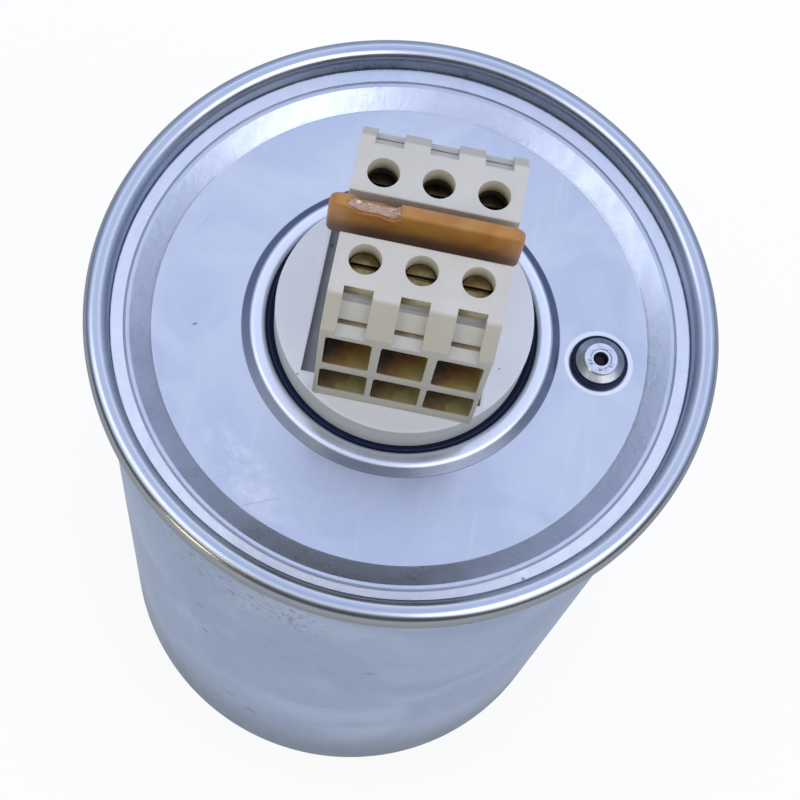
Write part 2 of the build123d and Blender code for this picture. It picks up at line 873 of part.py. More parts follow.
# Sprayed zinc on both ends of each winding
def end_contacts(bottom):
    """Three sprayed rings at one end of the windings, from the outermost inwards."""
    with BuildPart() as contacts:
        with BuildSketch(Plane.XY.offset(bottom)):
            for inside, outside in reversed(contact_rings):
                Circle(outside)
                Circle(inside, mode=Mode.SUBTRACT)
        extrude(amount=contact_thickness)
    return contacts.part


keep(end_contacts(winding_top), "top_contact_rings")
keep(end_contacts(contact_bottom), "bottom_contact_rings")


# Insulating cup in the foot of the can, with a step that carries the winding
cup_radius = body_inside - cup_clearance
with BuildPart() as insulating_cup:
    with BuildSketch(Plane.XZ):
        with BuildLine():
            Polyline(
                (0, base_thickness),
                (cup_radius - inner_corner, base_thickness),
                (cup_radius, base_thickness + inner_corner),
                (cup_radius, base_thickness + cup_height),
                (cup_radius - cup_wall, base_thickness + cup_height),
                (cup_radius - cup_wall, contact_bottom),
                (winding_radius - support_width, contact_bottom),
                (winding_radius - support_width, cup_floor),
                (0, cup_floor),
                close=True,
            )
        make_face()
    revolve(axis=Axis.Z)
keep(insulating_cup.part, "insulating_cup")


# Ring that holds the winding down, from its sleeve to the underside of the lid's shelf
hold_down_inside = sleeve_radius_outside - hold_down_wall
with BuildPart() as hold_down_ring:
    with BuildSketch(Plane.XZ):
        with BuildLine():
            Polyline(
                (hold_down_inside, contact_top),
                (sleeve_radius_outside, contact_top),
                (sleeve_radius_outside, shelf_under(sleeve_radius_outside)),
                (hold_down_inside, shelf_under(hold_down_inside)),
                close=True,
            )
        make_face()
    revolve(axis=Axis.Z)
keep(hold_down_ring.part, "hold_down_ring")


# Crimp sleeves on the stems, each gripping two leads
with BuildPart() as crimp_sleeves:
    with BuildSketch(Plane.XY.offset(crimp_bottom)):
        with Locations(*[(x, 0) for x in pole_x]):
            Circle(sleeve_radius)
    extrude(amount=crimp_length + stem_tail)
    with BuildSketch(Plane.XY.offset(stem_bottom)):
        with Locations(*[(x, 0) for x in pole_x]):
            Circle(stem_radius)
    extrude(amount=stem_tail, mode=Mode.SUBTRACT)
keep(crimp_sleeves.part, "crimp_sleeves")


def lead(points):
    """Insulated lead along straight runs joined by tangent bends."""
    first_run = Vector(points[1]) - Vector(points[0])
    with BuildPart() as wire:
        with BuildLine() as route:
            FilletPolyline(*points, radius=lead_bend)
        with BuildSketch(Plane(origin=points[0], z_dir=first_run)):
            Circle(lead_radius)
        sweep(path=route.line)
    return wire.part


# Top leads: first pole to the inner winding, second to the middle, third to the outer
top_run_z = (crimp_bottom + contact_top) / 2
top_ways = [(-1, 0), (0, 1), (1, 0)]
for number, (x, way, edges_of_ring) in enumerate(zip(pole_x, top_ways, contact_rings), start=1):
    reach = sum(edges_of_ring) / 2
    across = (way[0] * reach, lead_offset) if way[0] else (x, way[1] * reach)
    keep(
        lead(
            [
                (x, lead_offset, crimp_bottom),
                (x, lead_offset, top_run_z),
                (*across, top_run_z),
                (*across, contact_top),
            ]
        ),
        f"top_lead_{number}",
    )

# Return leads through the core tube to the bottom rings, which closes the delta
return_rings = [contact_rings[2], contact_rings[0], contact_rings[1]]
return_ways = [(-1, 0), (0, -1), (1, 0)]
core_run_z = contact_top + (crimp_bottom - contact_top) * jog_share
floor_run_z = cup_floor + lead_radius
for number, (x, way, edges_of_ring) in enumerate(zip(pole_x, return_ways, return_rings), start=1):
    reach = sum(edges_of_ring) / 2
    core_x = block_shift + core_lead_pitch * (number - (pole_count + 1) / 2)
    across = (way[0] * reach, -lead_offset) if way[0] else (core_x, way[1] * reach)
    jog = [(x, -lead_offset, core_run_z), (core_x, -lead_offset, core_run_z)] if core_x != x else []
    keep(
        lead(
            [
                (x, -lead_offset, crimp_bottom),
                *jog,
                (core_x, -lead_offset, floor_run_z),
                (*across, floor_run_z),
                (*across, contact_bottom),
            ]
        ),
        f"return_lead_{number}",
    )
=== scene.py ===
import bpy
import json
import math
from mathutils import Matrix, Vector


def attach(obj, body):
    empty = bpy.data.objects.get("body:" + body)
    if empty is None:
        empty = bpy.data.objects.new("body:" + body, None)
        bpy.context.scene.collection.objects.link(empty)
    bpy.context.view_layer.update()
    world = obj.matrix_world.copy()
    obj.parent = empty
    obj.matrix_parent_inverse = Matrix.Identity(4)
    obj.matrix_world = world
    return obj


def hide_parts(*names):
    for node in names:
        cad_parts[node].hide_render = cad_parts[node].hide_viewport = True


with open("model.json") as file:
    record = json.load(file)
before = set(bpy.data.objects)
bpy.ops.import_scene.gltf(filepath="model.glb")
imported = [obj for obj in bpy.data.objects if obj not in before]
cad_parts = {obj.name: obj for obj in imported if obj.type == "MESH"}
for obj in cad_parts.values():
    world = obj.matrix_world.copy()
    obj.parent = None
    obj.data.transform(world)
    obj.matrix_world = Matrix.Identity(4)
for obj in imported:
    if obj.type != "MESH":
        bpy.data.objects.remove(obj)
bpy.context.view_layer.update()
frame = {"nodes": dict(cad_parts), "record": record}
mm = 0.001
print("frame loaded")


# small helpers for mesh work

def objectMode():
    if bpy.context.object and bpy.context.object.mode != 'OBJECT':
        bpy.ops.object.mode_set(mode='OBJECT')
    bpy.ops.object.select_all(action='DESELECT')


def makeActive(piece):
    objectMode()
    piece.select_set(True)
    bpy.context.view_layer.objects.active = piece


def applyAll(piece):
    makeActive(piece)
    for modifier in list(piece.modifiers):
        bpy.ops.object.modifier_apply(modifier=modifier.name)


def smoothPiece(piece, angle):
    makeActive(piece)
    bpy.ops.object.shade_smooth_by_angle(angle=math.radians(angle))


def arcRun(centreR, centreZ, radius, startDeg, endDeg, count):  # an arc in the (r, z) plane
    run = []
    for i in range(count + 1):
        a = math.radians(startDeg + (endDeg - startDeg) * i / count)
        run.append((centreR + radius * math.cos(a), centreZ + radius * math.sin(a)))
    return run


def roundedRun(corners, bends, count):  # a folded line with its inner corners rounded
    run = [corners[0]]
    for i, bend in enumerate(bends, start=1):
        here = Vector(corners[i])
        back = (Vector(corners[i - 1]) - here).normalized()
        ahead = (Vector(corners[i + 1]) - here).normalized()
        half = back.angle(ahead) / 2
        reach = bend / math.tan(half)
        middle = here + (back + ahead).normalized() * (bend / math.sin(half))
        first = here + back * reach - middle
        turn = first.angle_signed(here + ahead * reach - middle)
        for k in range(count + 1):
            a = -turn * k / count
            run.append((middle.x + first.x * math.cos(a) - first.y * math.sin(a),
                        middle.y + first.x * math.sin(a) + first.y * math.cos(a)))
    run.append(corners[-1])
    return run


def drawRun(name, run, centre=(0.0, 0.0)):  # a line of (r, z) points in mm, left in edit mode
    objectMode()
    bpy.ops.mesh.primitive_plane_add(size=0.001, location=(0, 0, 0))
    piece = bpy.context.object
    piece.name = piece.data.name = name
    bpy.ops.object.mode_set(mode='EDIT')
    bpy.ops.mesh.select_all(action='SELECT')
    bpy.ops.mesh.merge(type='CENTER')
    start = ((centre[0] + run[0][0]) * mm, centre[1] * mm, run[0][1] * mm)
    bpy.ops.transform.translate(value=start)
    for (r0, z0), (r1, z1) in zip(run, run[1:]):
        step = ((r1 - r0) * mm, 0, (z1 - z0) * mm)
        bpy.ops.mesh.extrude_region_move(TRANSFORM_OT_translate={"value": step})
    bpy.ops.mesh.select_all(action='SELECT')
    return piece


def spinPiece(name, run, steps, centre=(0.0, 0.0)):  # a run turned round a vertical axis
    piece = drawRun(name, run, centre)
    bpy.ops.mesh.spin(steps=steps, angle=2 * math.pi,
                      center=(centre[0] * mm, centre[1] * mm, 0), axis=(0, 0, 1))
    bpy.ops.mesh.select_all(action='SELECT')
    bpy.ops.mesh.remove_doubles(threshold=0.000004)
    bpy.ops.mesh.normals_make_consistent(inside=False)
    bpy.ops.object.mode_set(mode='OBJECT')
    return piece


def boxPiece(name, low, high):  # a box between two corners, in mm
    objectMode()
    middle = [(a + b) / 2 * mm for a, b in zip(low, high)]
    bpy.ops.mesh.primitive_cube_add(size=1, location=middle)
    piece = bpy.context.object
    piece.name = piece.data.name = name
    piece.scale = [(b - a) * mm for a, b in zip(low, high)]
    bpy.ops.object.transform_apply(location=True, rotation=True, scale=True)
    return piece


def combine(piece, tool, operation):  # boolean with a tool that is used up
    cut = piece.modifiers.new(operation, 'BOOLEAN')
    cut.operation = operation
    cut.object = tool
    cut.solver = 'EXACT'
    makeActive(piece)
    bpy.ops.object.modifier_apply(modifier=cut.name)
    bpy.data.objects.remove(tool, do_unlink=True)


def nodeCopy(node, name):  # a merged copy of a CAD node, its flat faces made whole again
    source = frame["nodes"][node]
    piece = bpy.data.objects.new(name, source.data.copy())
    piece.data.name = name
    bpy.context.scene.collection.objects.link(piece)
    piece.data.materials.clear()
    makeActive(piece)
    bpy.ops.object.mode_set(mode='EDIT')
    bpy.ops.mesh.select_all(action='SELECT')
    bpy.ops.mesh.remove_doubles(threshold=0.00001)
    bpy.ops.mesh.dissolve_limited(angle_limit=math.radians(1.5))
    bpy.ops.object.mode_set(mode='OBJECT')
    return piece


def bevelEdges(piece, width):
    bevel = piece.modifiers.new("edges", 'BEVEL')
    bevel.width = width * mm
    bevel.segments = 2
    bevel.limit_method = 'ANGLE'
    bevel.angle_limit = math.radians(40)
    bevel.use_clamp_overlap = True
    bevel.miter_outer = 'MITER_ARC'
    applyAll(piece)


def settle(piece, node, material):  # the piece stands for its node
    piece.data.materials.clear()
    piece.data.materials.append(material)
    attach(piece, "root")
    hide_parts(node)


# small helpers for materials

class Finish:  # one material and the few calls that build its nodes
    def __init__(self, name):
        self.material = bpy.data.materials.new(name)
        self.material.use_nodes = True
        self.tree = self.material.node_tree
        self.shader = self.tree.nodes["Principled BSDF"]
        self.place = self.tree.nodes.new("ShaderNodeTexCoord").outputs["Object"]

    def node(self, kind, **values):
        made = self.tree.nodes.new(kind)
        for key, value in values.items():
            setattr(made, key, value)
        return made

    def link(self, output, entry):
        self.tree.links.new(output, entry)

    def feed(self, entry, value):  # a number, a colour or another node's output
        if isinstance(value, (int, float)):
            entry.default_value = value
        elif hasattr(value, "__len__"):
            entry.default_value = (*value, 1)
        else:
            self.link(value, entry)

    def mapped(self, scale=(1, 1, 1), turn=(0, 0, 0), move=(0, 0, 0), kind='POINT'):
        mapping = self.node("ShaderNodeMapping", vector_type=kind)
        mapping.inputs["Scale"].default_value = scale
        mapping.inputs["Rotation"].default_value = [math.radians(t) for t in turn]
        mapping.inputs["Location"].default_value = move
        self.link(self.place, mapping.inputs["Vector"])
        return mapping.outputs["Vector"]

    def noise(self, scale, detail=4.0, roughness=0.5, distortion=0.0, source=None):
        made = self.node("ShaderNodeTexNoise")
        made.inputs["Scale"].default_value = scale
        made.inputs["Detail"].default_value = detail
        made.inputs["Roughness"].default_value = roughness
        made.inputs["Distortion"].default_value = distortion
        self.link(source or self.place, made.inputs["Vector"])
        return made.outputs["Fac"]

    def ramp(self, factor, stops):
        made = self.node("ShaderNodeValToRGB")
        made.color_ramp.elements[0].position = stops[0][0]
        made.color_ramp.elements[1].position = stops[-1][0]
        for position, _ in stops[1:-1]:
            made.color_ramp.elements.new(position)
        for element, (_, value) in zip(made.color_ramp.elements, stops):
            element.color = (*value, 1)
        self.link(factor, made.inputs["Fac"])
        return made.outputs["Color"]

    def maths(self, operation, a, b=None):
        made = self.node("ShaderNodeMath", operation=operation)
        for entry, value in zip(made.inputs, (a, b)):
            if value is not None:
                self.feed(entry, value)
        return made.outputs["Value"]

    def spread(self, value, low, high, newLow=0.0, newHigh=1.0):
        made = self.node("ShaderNodeMapRange", interpolation_type='SMOOTHSTEP')
        for entry, v in zip(made.inputs[1:5], (low, high, newLow, newHigh)):
            entry.default_value = v
        self.link(value, made.inputs["Value"])
        return made.outputs["Result"]

    def mix(self, factor, a, b):
        made = self.node("ShaderNodeMix", data_type='RGBA')
        self.feed(made.inputs[0], factor)
        self.feed(made.inputs[6], a)
        self.feed(made.inputs[7], b)
        return made.outputs[2]

    def parts(self, source=None):
        made = self.node("ShaderNodeSeparateXYZ")
        self.link(source or self.place, made.inputs["Vector"])
        return made.outputs["X"], made.outputs["Y"], made.outputs["Z"]

    def radius(self, centre=(0, 0)):  # distance from a vertical axis, in metres
        x, y, _ = self.parts(self.mapped(move=(-centre[0] * mm, -centre[1] * mm, 0)))
        square = self.maths('ADD', self.maths('MULTIPLY', x, x), self.maths('MULTIPLY', y, y))
        return self.maths('SQRT', square)

    def times(self, *values):  # product of masks
        product = values[0]
        for value in values[1:]:
            product = self.maths('MULTIPLY', product, value)
        return product

    def coat(self, tone, color, *masks):  # lays a colour over a tone where all the masks meet
        return self.mix(self.times(*masks), tone, color)

    def edge(self, value, start, end):  # 0 at one place to 1 at another, in mm
        return self.spread(value, start * mm, end * mm)

    def band(self, value, low, high, soft):  # 1 between two places in mm, 0 outside
        return self.times(self.edge(value, low - soft, low + soft),
                          self.edge(value, high + soft, high - soft))

    def mark(self, place, size, turn=0.0, soft=0.6):  # one ragged spot: 0 outside, 1 inside
        spot = self.mapped(move=[p * mm for p in place], turn=(0, 0, turn),
                           scale=[s * mm for s in size], kind='TEXTURE')
        ball = self.node("ShaderNodeTexGradient", gradient_type='SPHERICAL')
        self.link(spot, ball.inputs["Vector"])
        rough = self.maths('MULTIPLY', self.noise(900, 3), 0.35)
        return self.spread(self.maths('SUBTRACT', ball.outputs["Fac"], rough), 0.0, soft)

    def spots(self, tone, marks, color, strength=0.8):  # lays each mark of a list over a tone
        for mark in marks:
            tone = self.coat(tone, color, self.mark(*mark), strength)
        return tone

    def bump(self, height, strength, distance, before=None):
        made = self.node("ShaderNodeBump")
        made.inputs["Strength"].default_value = strength
        made.inputs["Distance"].default_value = distance * mm
        self.link(height, made.inputs["Height"])
        if before:
            self.link(before, made.inputs["Normal"])
        return made.outputs["Normal"]

    def finish(self, color, roughness, normal=None, **plain):
        self.feed(self.shader.inputs["Base Color"], color)
        self.feed(self.shader.inputs["Roughness"], roughness)
        if normal:
            self.link(normal, self.shader.inputs["Normal"])
        for entry, value in plain.items():
            self.shader.inputs[entry.replace("_", " ")].default_value = value
        return self.material


# camera, at the photograph's place

cameraLook = {"place": (-5.12, -134.65, 451.67), "pan": -0.43, "tilt": 22.66, "roll": 11.97,
              "lens": 75.32, "sensor": 36, "shiftX": 0.0374, "shiftY": -0.0336}
cameraData = bpy.data.cameras.new("photoCamera")
camera = bpy.data.objects.new("photoCamera", cameraData)
bpy.context.scene.collection.objects.link(camera)
camera.matrix_world = (Matrix.Translation(Vector(cameraLook["place"]) * mm)
                       @ Matrix.Rotation(math.radians(cameraLook["pan"]), 4, 'Z')
                       @ Matrix.Rotation(math.radians(cameraLook["tilt"]), 4, 'X')
                       @ Matrix.Rotation(math.radians(cameraLook["roll"]), 4, 'Z'))
cameraData.sensor_width = cameraLook["sensor"]
cameraData.lens = cameraLook["lens"]
cameraData.shift_x = cameraLook["shiftX"]
cameraData.shift_y = cameraLook["shiftY"]
cameraData.clip_start = 0.01
cameraData.clip_end = 20
bpy.context.scene.camera = camera
print("camera placed")


# floor and light

studio = {"floorZ": -16.4, "floorSize": 6.0, "floorColor": (0.93, 0.93, 0.93), "floorGlow": 0.88,
          "skyStrength": 1.3, "skyTurn": 0.15, "aim": (0, 0, 0.15),
          "lights": [("leftWindow", (-0.85, -0.28, 1.05), 1.15, 2.6, (1, 1, 1)),
                     ("rightWindow", (0.75, -0.50, 1.05), 1.15, 4.6, (1, 1, 1)),
                     ("warmCard", (-0.62, -0.72, 0.30), 0.26, 0.8, (1, 0.86, 0.55)),
                     ("warmPatch", (-0.50, -0.74, 0.70), 0.16, 0.16, (1, 0.92, 0.60))],
          # sky colours from straight below, 0, over the horizon, 0.5, to overhead, 1
          "farSky": [(0.0, (0.20, 0.21, 0.23)), (0.5, (0.21, 0.25, 0.36)),
                     (0.56, (0.35, 0.44, 0.74)), (0.62, (0.33, 0.40, 0.62)),
                     (0.75, (0.40, 0.46, 0.62)), (0.83, (0.66, 0.71, 0.85)),
                     (0.888, (1.00, 1.03, 1.12)), (0.93, (0.55, 0.62, 0.82)),
                     (0.975, (0.62, 0.69, 0.89)), (1.0, (0.44, 0.50, 0.69))],
          "nearSky": [(0.0, (0.20, 0.21, 0.23)), (0.5, (0.13, 0.14, 0.155)),
                      (0.711, (0.15, 0.16, 0.185)), (0.808, (0.28, 0.30, 0.35)),
                      (0.86, (0.70, 0.70, 0.76)), (0.933, (0.80, 0.80, 0.87)),
                      (0.983, (0.54, 0.60, 0.78)), (1.0, (0.44, 0.50, 0.69))]}
scene = bpy.context.scene
scene.view_settings.view_transform = 'Standard'

objectMode()
bpy.ops.mesh.primitive_plane_add(size=studio["floorSize"], location=(0, 0, studio["floorZ"] * mm))
floor = bpy.context.object
floor.name = "floor"
paper = Finish("floorPaper")
paper.finish(studio["floorColor"], 0.9, Specular_IOR_Level=0.1)
rays = paper.node("ShaderNodeLightPath")
seen = paper.maths('MAXIMUM', rays.outputs["Is Camera Ray"], rays.outputs["Is Glossy Ray"])
seen = paper.maths('MAXIMUM', seen, rays.outputs["Is Transmission Ray"])
glow = paper.node("ShaderNodeEmission")
glow.inputs["Strength"].default_value = 1.0
blend = paper.node("ShaderNodeMixShader")
paper.link(paper.maths('MULTIPLY', seen, studio["floorGlow"]), blend.inputs["Fac"])
paper.link(paper.shader.outputs["BSDF"], blend.inputs[1])
paper.link(glow.outputs["Emission"], blend.inputs[2])
paper.link(blend.outputs["Shader"], paper.tree.nodes["Material Output"].inputs["Surface"])
floor.data.materials.append(paper.material)

world = bpy.data.worlds.new("softRoom")
scene.world = world
world.use_nodes = True
tree = world.node_tree
background = tree.nodes["Background"]
direction = tree.nodes.new("ShaderNodeTexCoord")
split = tree.nodes.new("ShaderNodeSeparateXYZ")
tree.links.new(direction.outputs["Generated"], split.inputs["Vector"])
height = tree.nodes.new("ShaderNodeMapRange")
height.inputs["From Min"].default_value = -1
height.inputs["From Max"].default_value = 1
tree.links.new(split.outputs["Z"], height.inputs["Value"])


def skyRamp(stops):
    ramp = tree.nodes.new("ShaderNodeValToRGB")
    elements = ramp.color_ramp.elements
    for i, (position, color) in enumerate(stops):
        element = elements[i] if i < 2 else elements.new(position)  # a new ramp has two
        element.position = position
        element.color = (*color, 1)
    tree.links.new(height.outputs["Result"], ramp.inputs["Fac"])
    return ramp.outputs["Color"]


side = tree.nodes.new("ShaderNodeMapRange")
side.interpolation_type = 'SMOOTHSTEP'
side.inputs["From Min"].default_value = -studio["skyTurn"]
side.inputs["From Max"].default_value = studio["skyTurn"]
tree.links.new(split.outputs["Y"], side.inputs["Value"])
sky = tree.nodes.new("ShaderNodeMix")
sky.data_type = 'RGBA'
tree.links.new(side.outputs["Result"], sky.inputs[0])
tree.links.new(skyRamp(studio["nearSky"]), sky.inputs[6])
tree.links.new(skyRamp(studio["farSky"]), sky.inputs[7])
tree.links.new(sky.outputs[2], background.inputs["Color"])
background.inputs["Strength"].default_value = studio["skyStrength"]

for name, place, size, power, color in studio["lights"]:
    data = bpy.data.lights.new(name, 'AREA')
    data.shape = 'DISK'
    data.size = size
    data.energy = power
    data.color = color
    light = bpy.data.objects.new(name, data)
    scene.collection.objects.link(light)
    light.location = place
    aim = Vector(studio["aim"]) - Vector(place)
    light.rotation_euler = aim.to_track_quat('-Z', 'Y').to_euler()
    light.visible_camera = False
print("floor and lights placed")


# finishes, with their places in mm

block = {"valve": (38.994, 0.681), "poleFirst": -8.94, "polePitch": 9.8, "screwReach": 8.52}


def around(radius, azimuth, z):  # a place on the can or lid by its angle
    return (radius * math.cos(math.radians(azimuth)), radius * math.sin(math.radians(azimuth)), z)


lidLook = {
    "dull": (0.530, 0.580, 0.690), "clean": (0.605, 0.650, 0.745), "dirtAndCreaseShade": (0.11, 0.135, 0.20),
    "streak": (0.70, 0.72, 0.76), "speck": (0.72, 0.75, 0.82), "rubbed": (0.76, 0.78, 0.82),
    "coneReflectionBlue": (0.50, 0.57, 0.76), "coneGrey": (0.42, 0.45, 0.56), "shelfHighlight": (0.70, 0.74, 0.84),
    "worn": (0.80, 0.84, 0.93), "slope": (0.21, 0.24, 0.33), "seamShade": (0.05, 0.05, 0.055),
    "outside": (0.22, 0.23, 0.24), "hem": (0.36, 0.335, 0.235), "underHemShade": (0.10, 0.10, 0.09),
    "scratch": (0.36, 0.41, 0.52), "wallDarker": (0.30, 0.34, 0.40), "crest": (0.50, 0.55, 0.66),
    "seat": (0.84, 0.87, 0.92), "tint": (0.55, 0.60, 0.68, 1), "rough": 0.31, "beadRough": 0.20,
    "panelBand": (31.5, 47.8, 1.0), "coneBand": (48.5, 52.6, 0.3), "shelfBand": (53.6, 55.8, 0.2),
    "swageHighlightBand": (26.7, 29.0, 0.2), "swageSlope": (29.45, 30.9, 0.2), "heel": (30.85, 31.12, 0.08),
    "groove": (53.18, 53.42, 0.08), "wallFoot": (55.85, 56.35, 0.1), "wallFootZ": (160.0, 159.2),
    "seamEdge": (60.35, 61.5, 0.05), "seamZ": (160.55, 160.95, 0.08), "outsideShadeR": (58.8, 59.6),
    "outsideShadeZ": (163.95, 163.4), "hemReflectionR": (58.8, 59.4), "hemZ": (158.75, 160.5, 0.1),
    "underR": (58.5, 58.8), "underZ": (158.8, 158.6), "wallBand": (56.0, 57.6, 0.3),
    "wallZ": (163.3, 161.8), "crestBand": (57.4, 59.4, 0.4), "crestZ": (162.8, 163.6),
    "seatHaloBand": (5.75, 6.75, 0.12), "beadBand": (56.3, 62.0, 0.3),
    "rubbing": ((-24.0, -36.0, 155.6), (19.0, 8.0, 3.0), -38, 0.5),
    "darkMarks": [((30.6, -46.0, 158.4), (0.75, 0.55, 0.7), 20),
                  ((-39.1, -8.3, 155.6), (0.9, 0.35, 0.5), 35),
                  (around(56.4, -152.0, 159.5), (0.5, 0.5, 0.9), 0),
                  (around(61.0, -68.6, 160.5), (0.8, 0.8, 0.8), 0)],
    "scratches": [(around(58.4, -137.0, 163.9), (6.0, 0.16, 0.5), 43),
                  (around(58.8, -134.2, 163.9), (1.1, 0.28, 0.5), 40),
                  ((-20.0, -41.0, 155.6), (9.0, 0.15, 0.5), 24),
                  ((12.0, 41.0, 155.6), (6.0, 0.12, 0.5), -14),
                  ((-42.0, 14.0, 155.6), (5.0, 0.12, 0.5), 60)]}


def lidFinish(s):
    f = Finish("lidSheet")
    streaks = f.noise(420, 3, 0.6, source=f.mapped(scale=(1, 0.06, 1), turn=(0, 0, 24)))
    smudges = f.noise(38, 4, 0.6, 1.2)
    specks = f.spread(f.noise(1500, 2, 0.6), 0.66, 0.74)
    mottle = f.noise(330, 3, 0.65, 1.0)
    grime = f.noise(620, 4, 0.7)
    r = f.radius()
    _, _, z = f.parts()
    cone = f.band(r, *s["coneBand"])
    shelf = f.band(r, *s["shelfBand"])
    tone = f.mix(f.spread(smudges, 0.35, 0.7), s["dull"], s["clean"])
    tone = f.coat(tone, s["streak"], f.band(r, *s["panelBand"]),
                  f.spread(streaks, 0.55, 0.75), 0.30)
    tone = f.coat(tone, s["speck"], specks, 0.35)
    # painted reflection: the whole cone is tinted blue
    tone = f.coat(tone, s["coneReflectionBlue"], cone, 0.55)
    tone = f.coat(tone, s["coneGrey"], cone, f.spread(mottle, 0.45, 0.65), 0.25)
    # painted highlight: the shelf is made paler, varied a little by the grain mottle
    tone = f.coat(tone, s["shelfHighlight"], shelf, f.spread(mottle, 0.35, 0.65, 0.75, 1.0))
    # painted highlight: the flat top of the swage is made pale
    tone = f.coat(tone, s["worn"], f.band(r, *s["swageHighlightBand"]), 0.9)
    # painted shade: the outer slope of the swage is made dark
    tone = f.coat(tone, s["slope"], f.band(r, *s["swageSlope"]), 0.90)
    haze = f.times(f.mark(*s["rubbing"]), f.spread(f.noise(260, 5, 0.75), 0.42, 0.68))
    tone = f.coat(tone, s["rubbed"], haze, 0.7)  # whitish rubbing on the panel
    # painted shade along the pressed groove
    tone = f.coat(tone, s["dirtAndCreaseShade"], f.band(r, *s["groove"]), 0.35)
    tone = f.coat(tone, s["dirtAndCreaseShade"], f.band(r, *s["heel"]), 0.75)  # painted shade in the crease where swage and panel meet
    # painted shade at the foot of the chuck wall, made patchy with grime noise
    tone = f.coat(tone, s["dirtAndCreaseShade"], f.band(r, *s["wallFoot"]), f.edge(z, *s["wallFootZ"]),
                  f.spread(grime, 0.25, 0.55, 0.35, 0.85))
    # painted shade: a near-black line in the seam
    tone = f.coat(tone, s["seamShade"], f.band(r, *s["seamEdge"]), f.band(z, *s["seamZ"]), 0.85)
    # painted shade: the bead's outer side below the crest is made dark grey
    tone = f.coat(tone, s["outside"], f.edge(r, *s["outsideShadeR"]), f.edge(z, *s["outsideShadeZ"]), 0.8)
    # painted reflection: a warm yellow band on the hem, made patchy with grime noise
    tone = f.coat(tone, s["hem"], f.edge(r, *s["hemReflectionR"]), f.band(z, *s["hemZ"]),
                  f.spread(grime, 0.35, 0.7, 0.70, 0.90))
    # painted shade under the hem
    tone = f.coat(tone, s["underHemShade"], f.edge(r, *s["underR"]), f.edge(z, *s["underZ"]), 0.7)
    tone = f.spots(tone, s["darkMarks"], s["dirtAndCreaseShade"], 0.85)
    tone = f.spots(tone, s["scratches"], s["scratch"], 0.7)
    # the chuck wall is made a little darker
    tone = f.coat(tone, s["wallDarker"], f.band(r, *s["wallBand"]), f.edge(z, *s["wallZ"]), 0.2)
    tone = f.coat(tone, s["crest"], f.band(r, *s["crestBand"]), f.edge(z, *s["crestZ"]), 0.7)
    # painted highlight: a pale halo round the rivet's seat
    tone = f.coat(tone, s["seat"], f.band(f.radius(block["valve"]), *s["seatHaloBand"]), 0.8)
    gloss = f.maths('ADD', f.spread(smudges, 0.3, 0.75, s["rough"] - 0.04, s["rough"] + 0.06),
                    f.spread(streaks, 0.3, 0.7, -0.03, 0.03))
    polished = f.band(r, *s["beadBand"])
    bead = f.spread(smudges, 0.3, 0.75, s["beadRough"], s["beadRough"] + 0.07)
    gloss = f.maths('ADD', f.maths('MULTIPLY', gloss, f.maths('SUBTRACT', 1.0, polished)),
                    f.times(polished, bead))
    fine = f.bump(streaks, 0.12, 0.02)
    dents = f.bump(f.noise(46, 2, 0.5), 0.25, 0.35, fine)
    grained = f.maths('MULTIPLY', mottle, f.maths('ADD', cone, f.maths('MULTIPLY', shelf, 0.6)))
    return f.finish(tone, gloss, f.bump(grained, 0.45, 0.12, dents), Metallic=1.0,
                    Specular_Tint=s["tint"])


canLook = {
    "dull": (0.385, 0.440, 0.565), "clean": (0.490, 0.545, 0.670), "stain": (0.20, 0.22, 0.26),
    "blot": (0.36, 0.40, 0.50), "dust": (0.20, 0.21, 0.18), "foot": (0.205, 0.220, 0.235),
    "rub": (0.62, 0.67, 0.76), "tint": (0.56, 0.62, 0.73, 1), "rough": 0.40,
    "dustZ": (130, 158, 9.0), "dustY": (-20, -52), "dustX": (6, -10), "footShadeZ": (48, 4),
    # azimuth and height of each mark, and its size
    "marks": [(-141, 11.4, (2.2, 2.2, 1.6)), (-120.3, 107, (2.4, 2.4, 1.3)),
              (-119.0, 88, (1.6, 1.6, 2.4)), (-106.4, 34.3, (3.6, 1.5, 2.6)),
              (-112.0, 40.0, (3.4, 1.5, 1.6)), (-116.0, 28.0, (1.6, 1.6, 2.0)),
              (-103, 116, (1.4, 1.4, 0.7)), (-98.4, 106, (5.0, 1.4, 0.45)),
              (-90.8, 104, (4.4, 1.4, 0.5)), (-81.7, 108, (2.0, 1.4, 1.6)),
              (40, 96, (2.6, 2.6, 1.8)), (118, 52, (2.0, 2.0, 2.6)),
              (162, 120, (2.4, 2.4, 1.2)), (10, 30, (2.2, 2.2, 1.6))], "markR": 58}


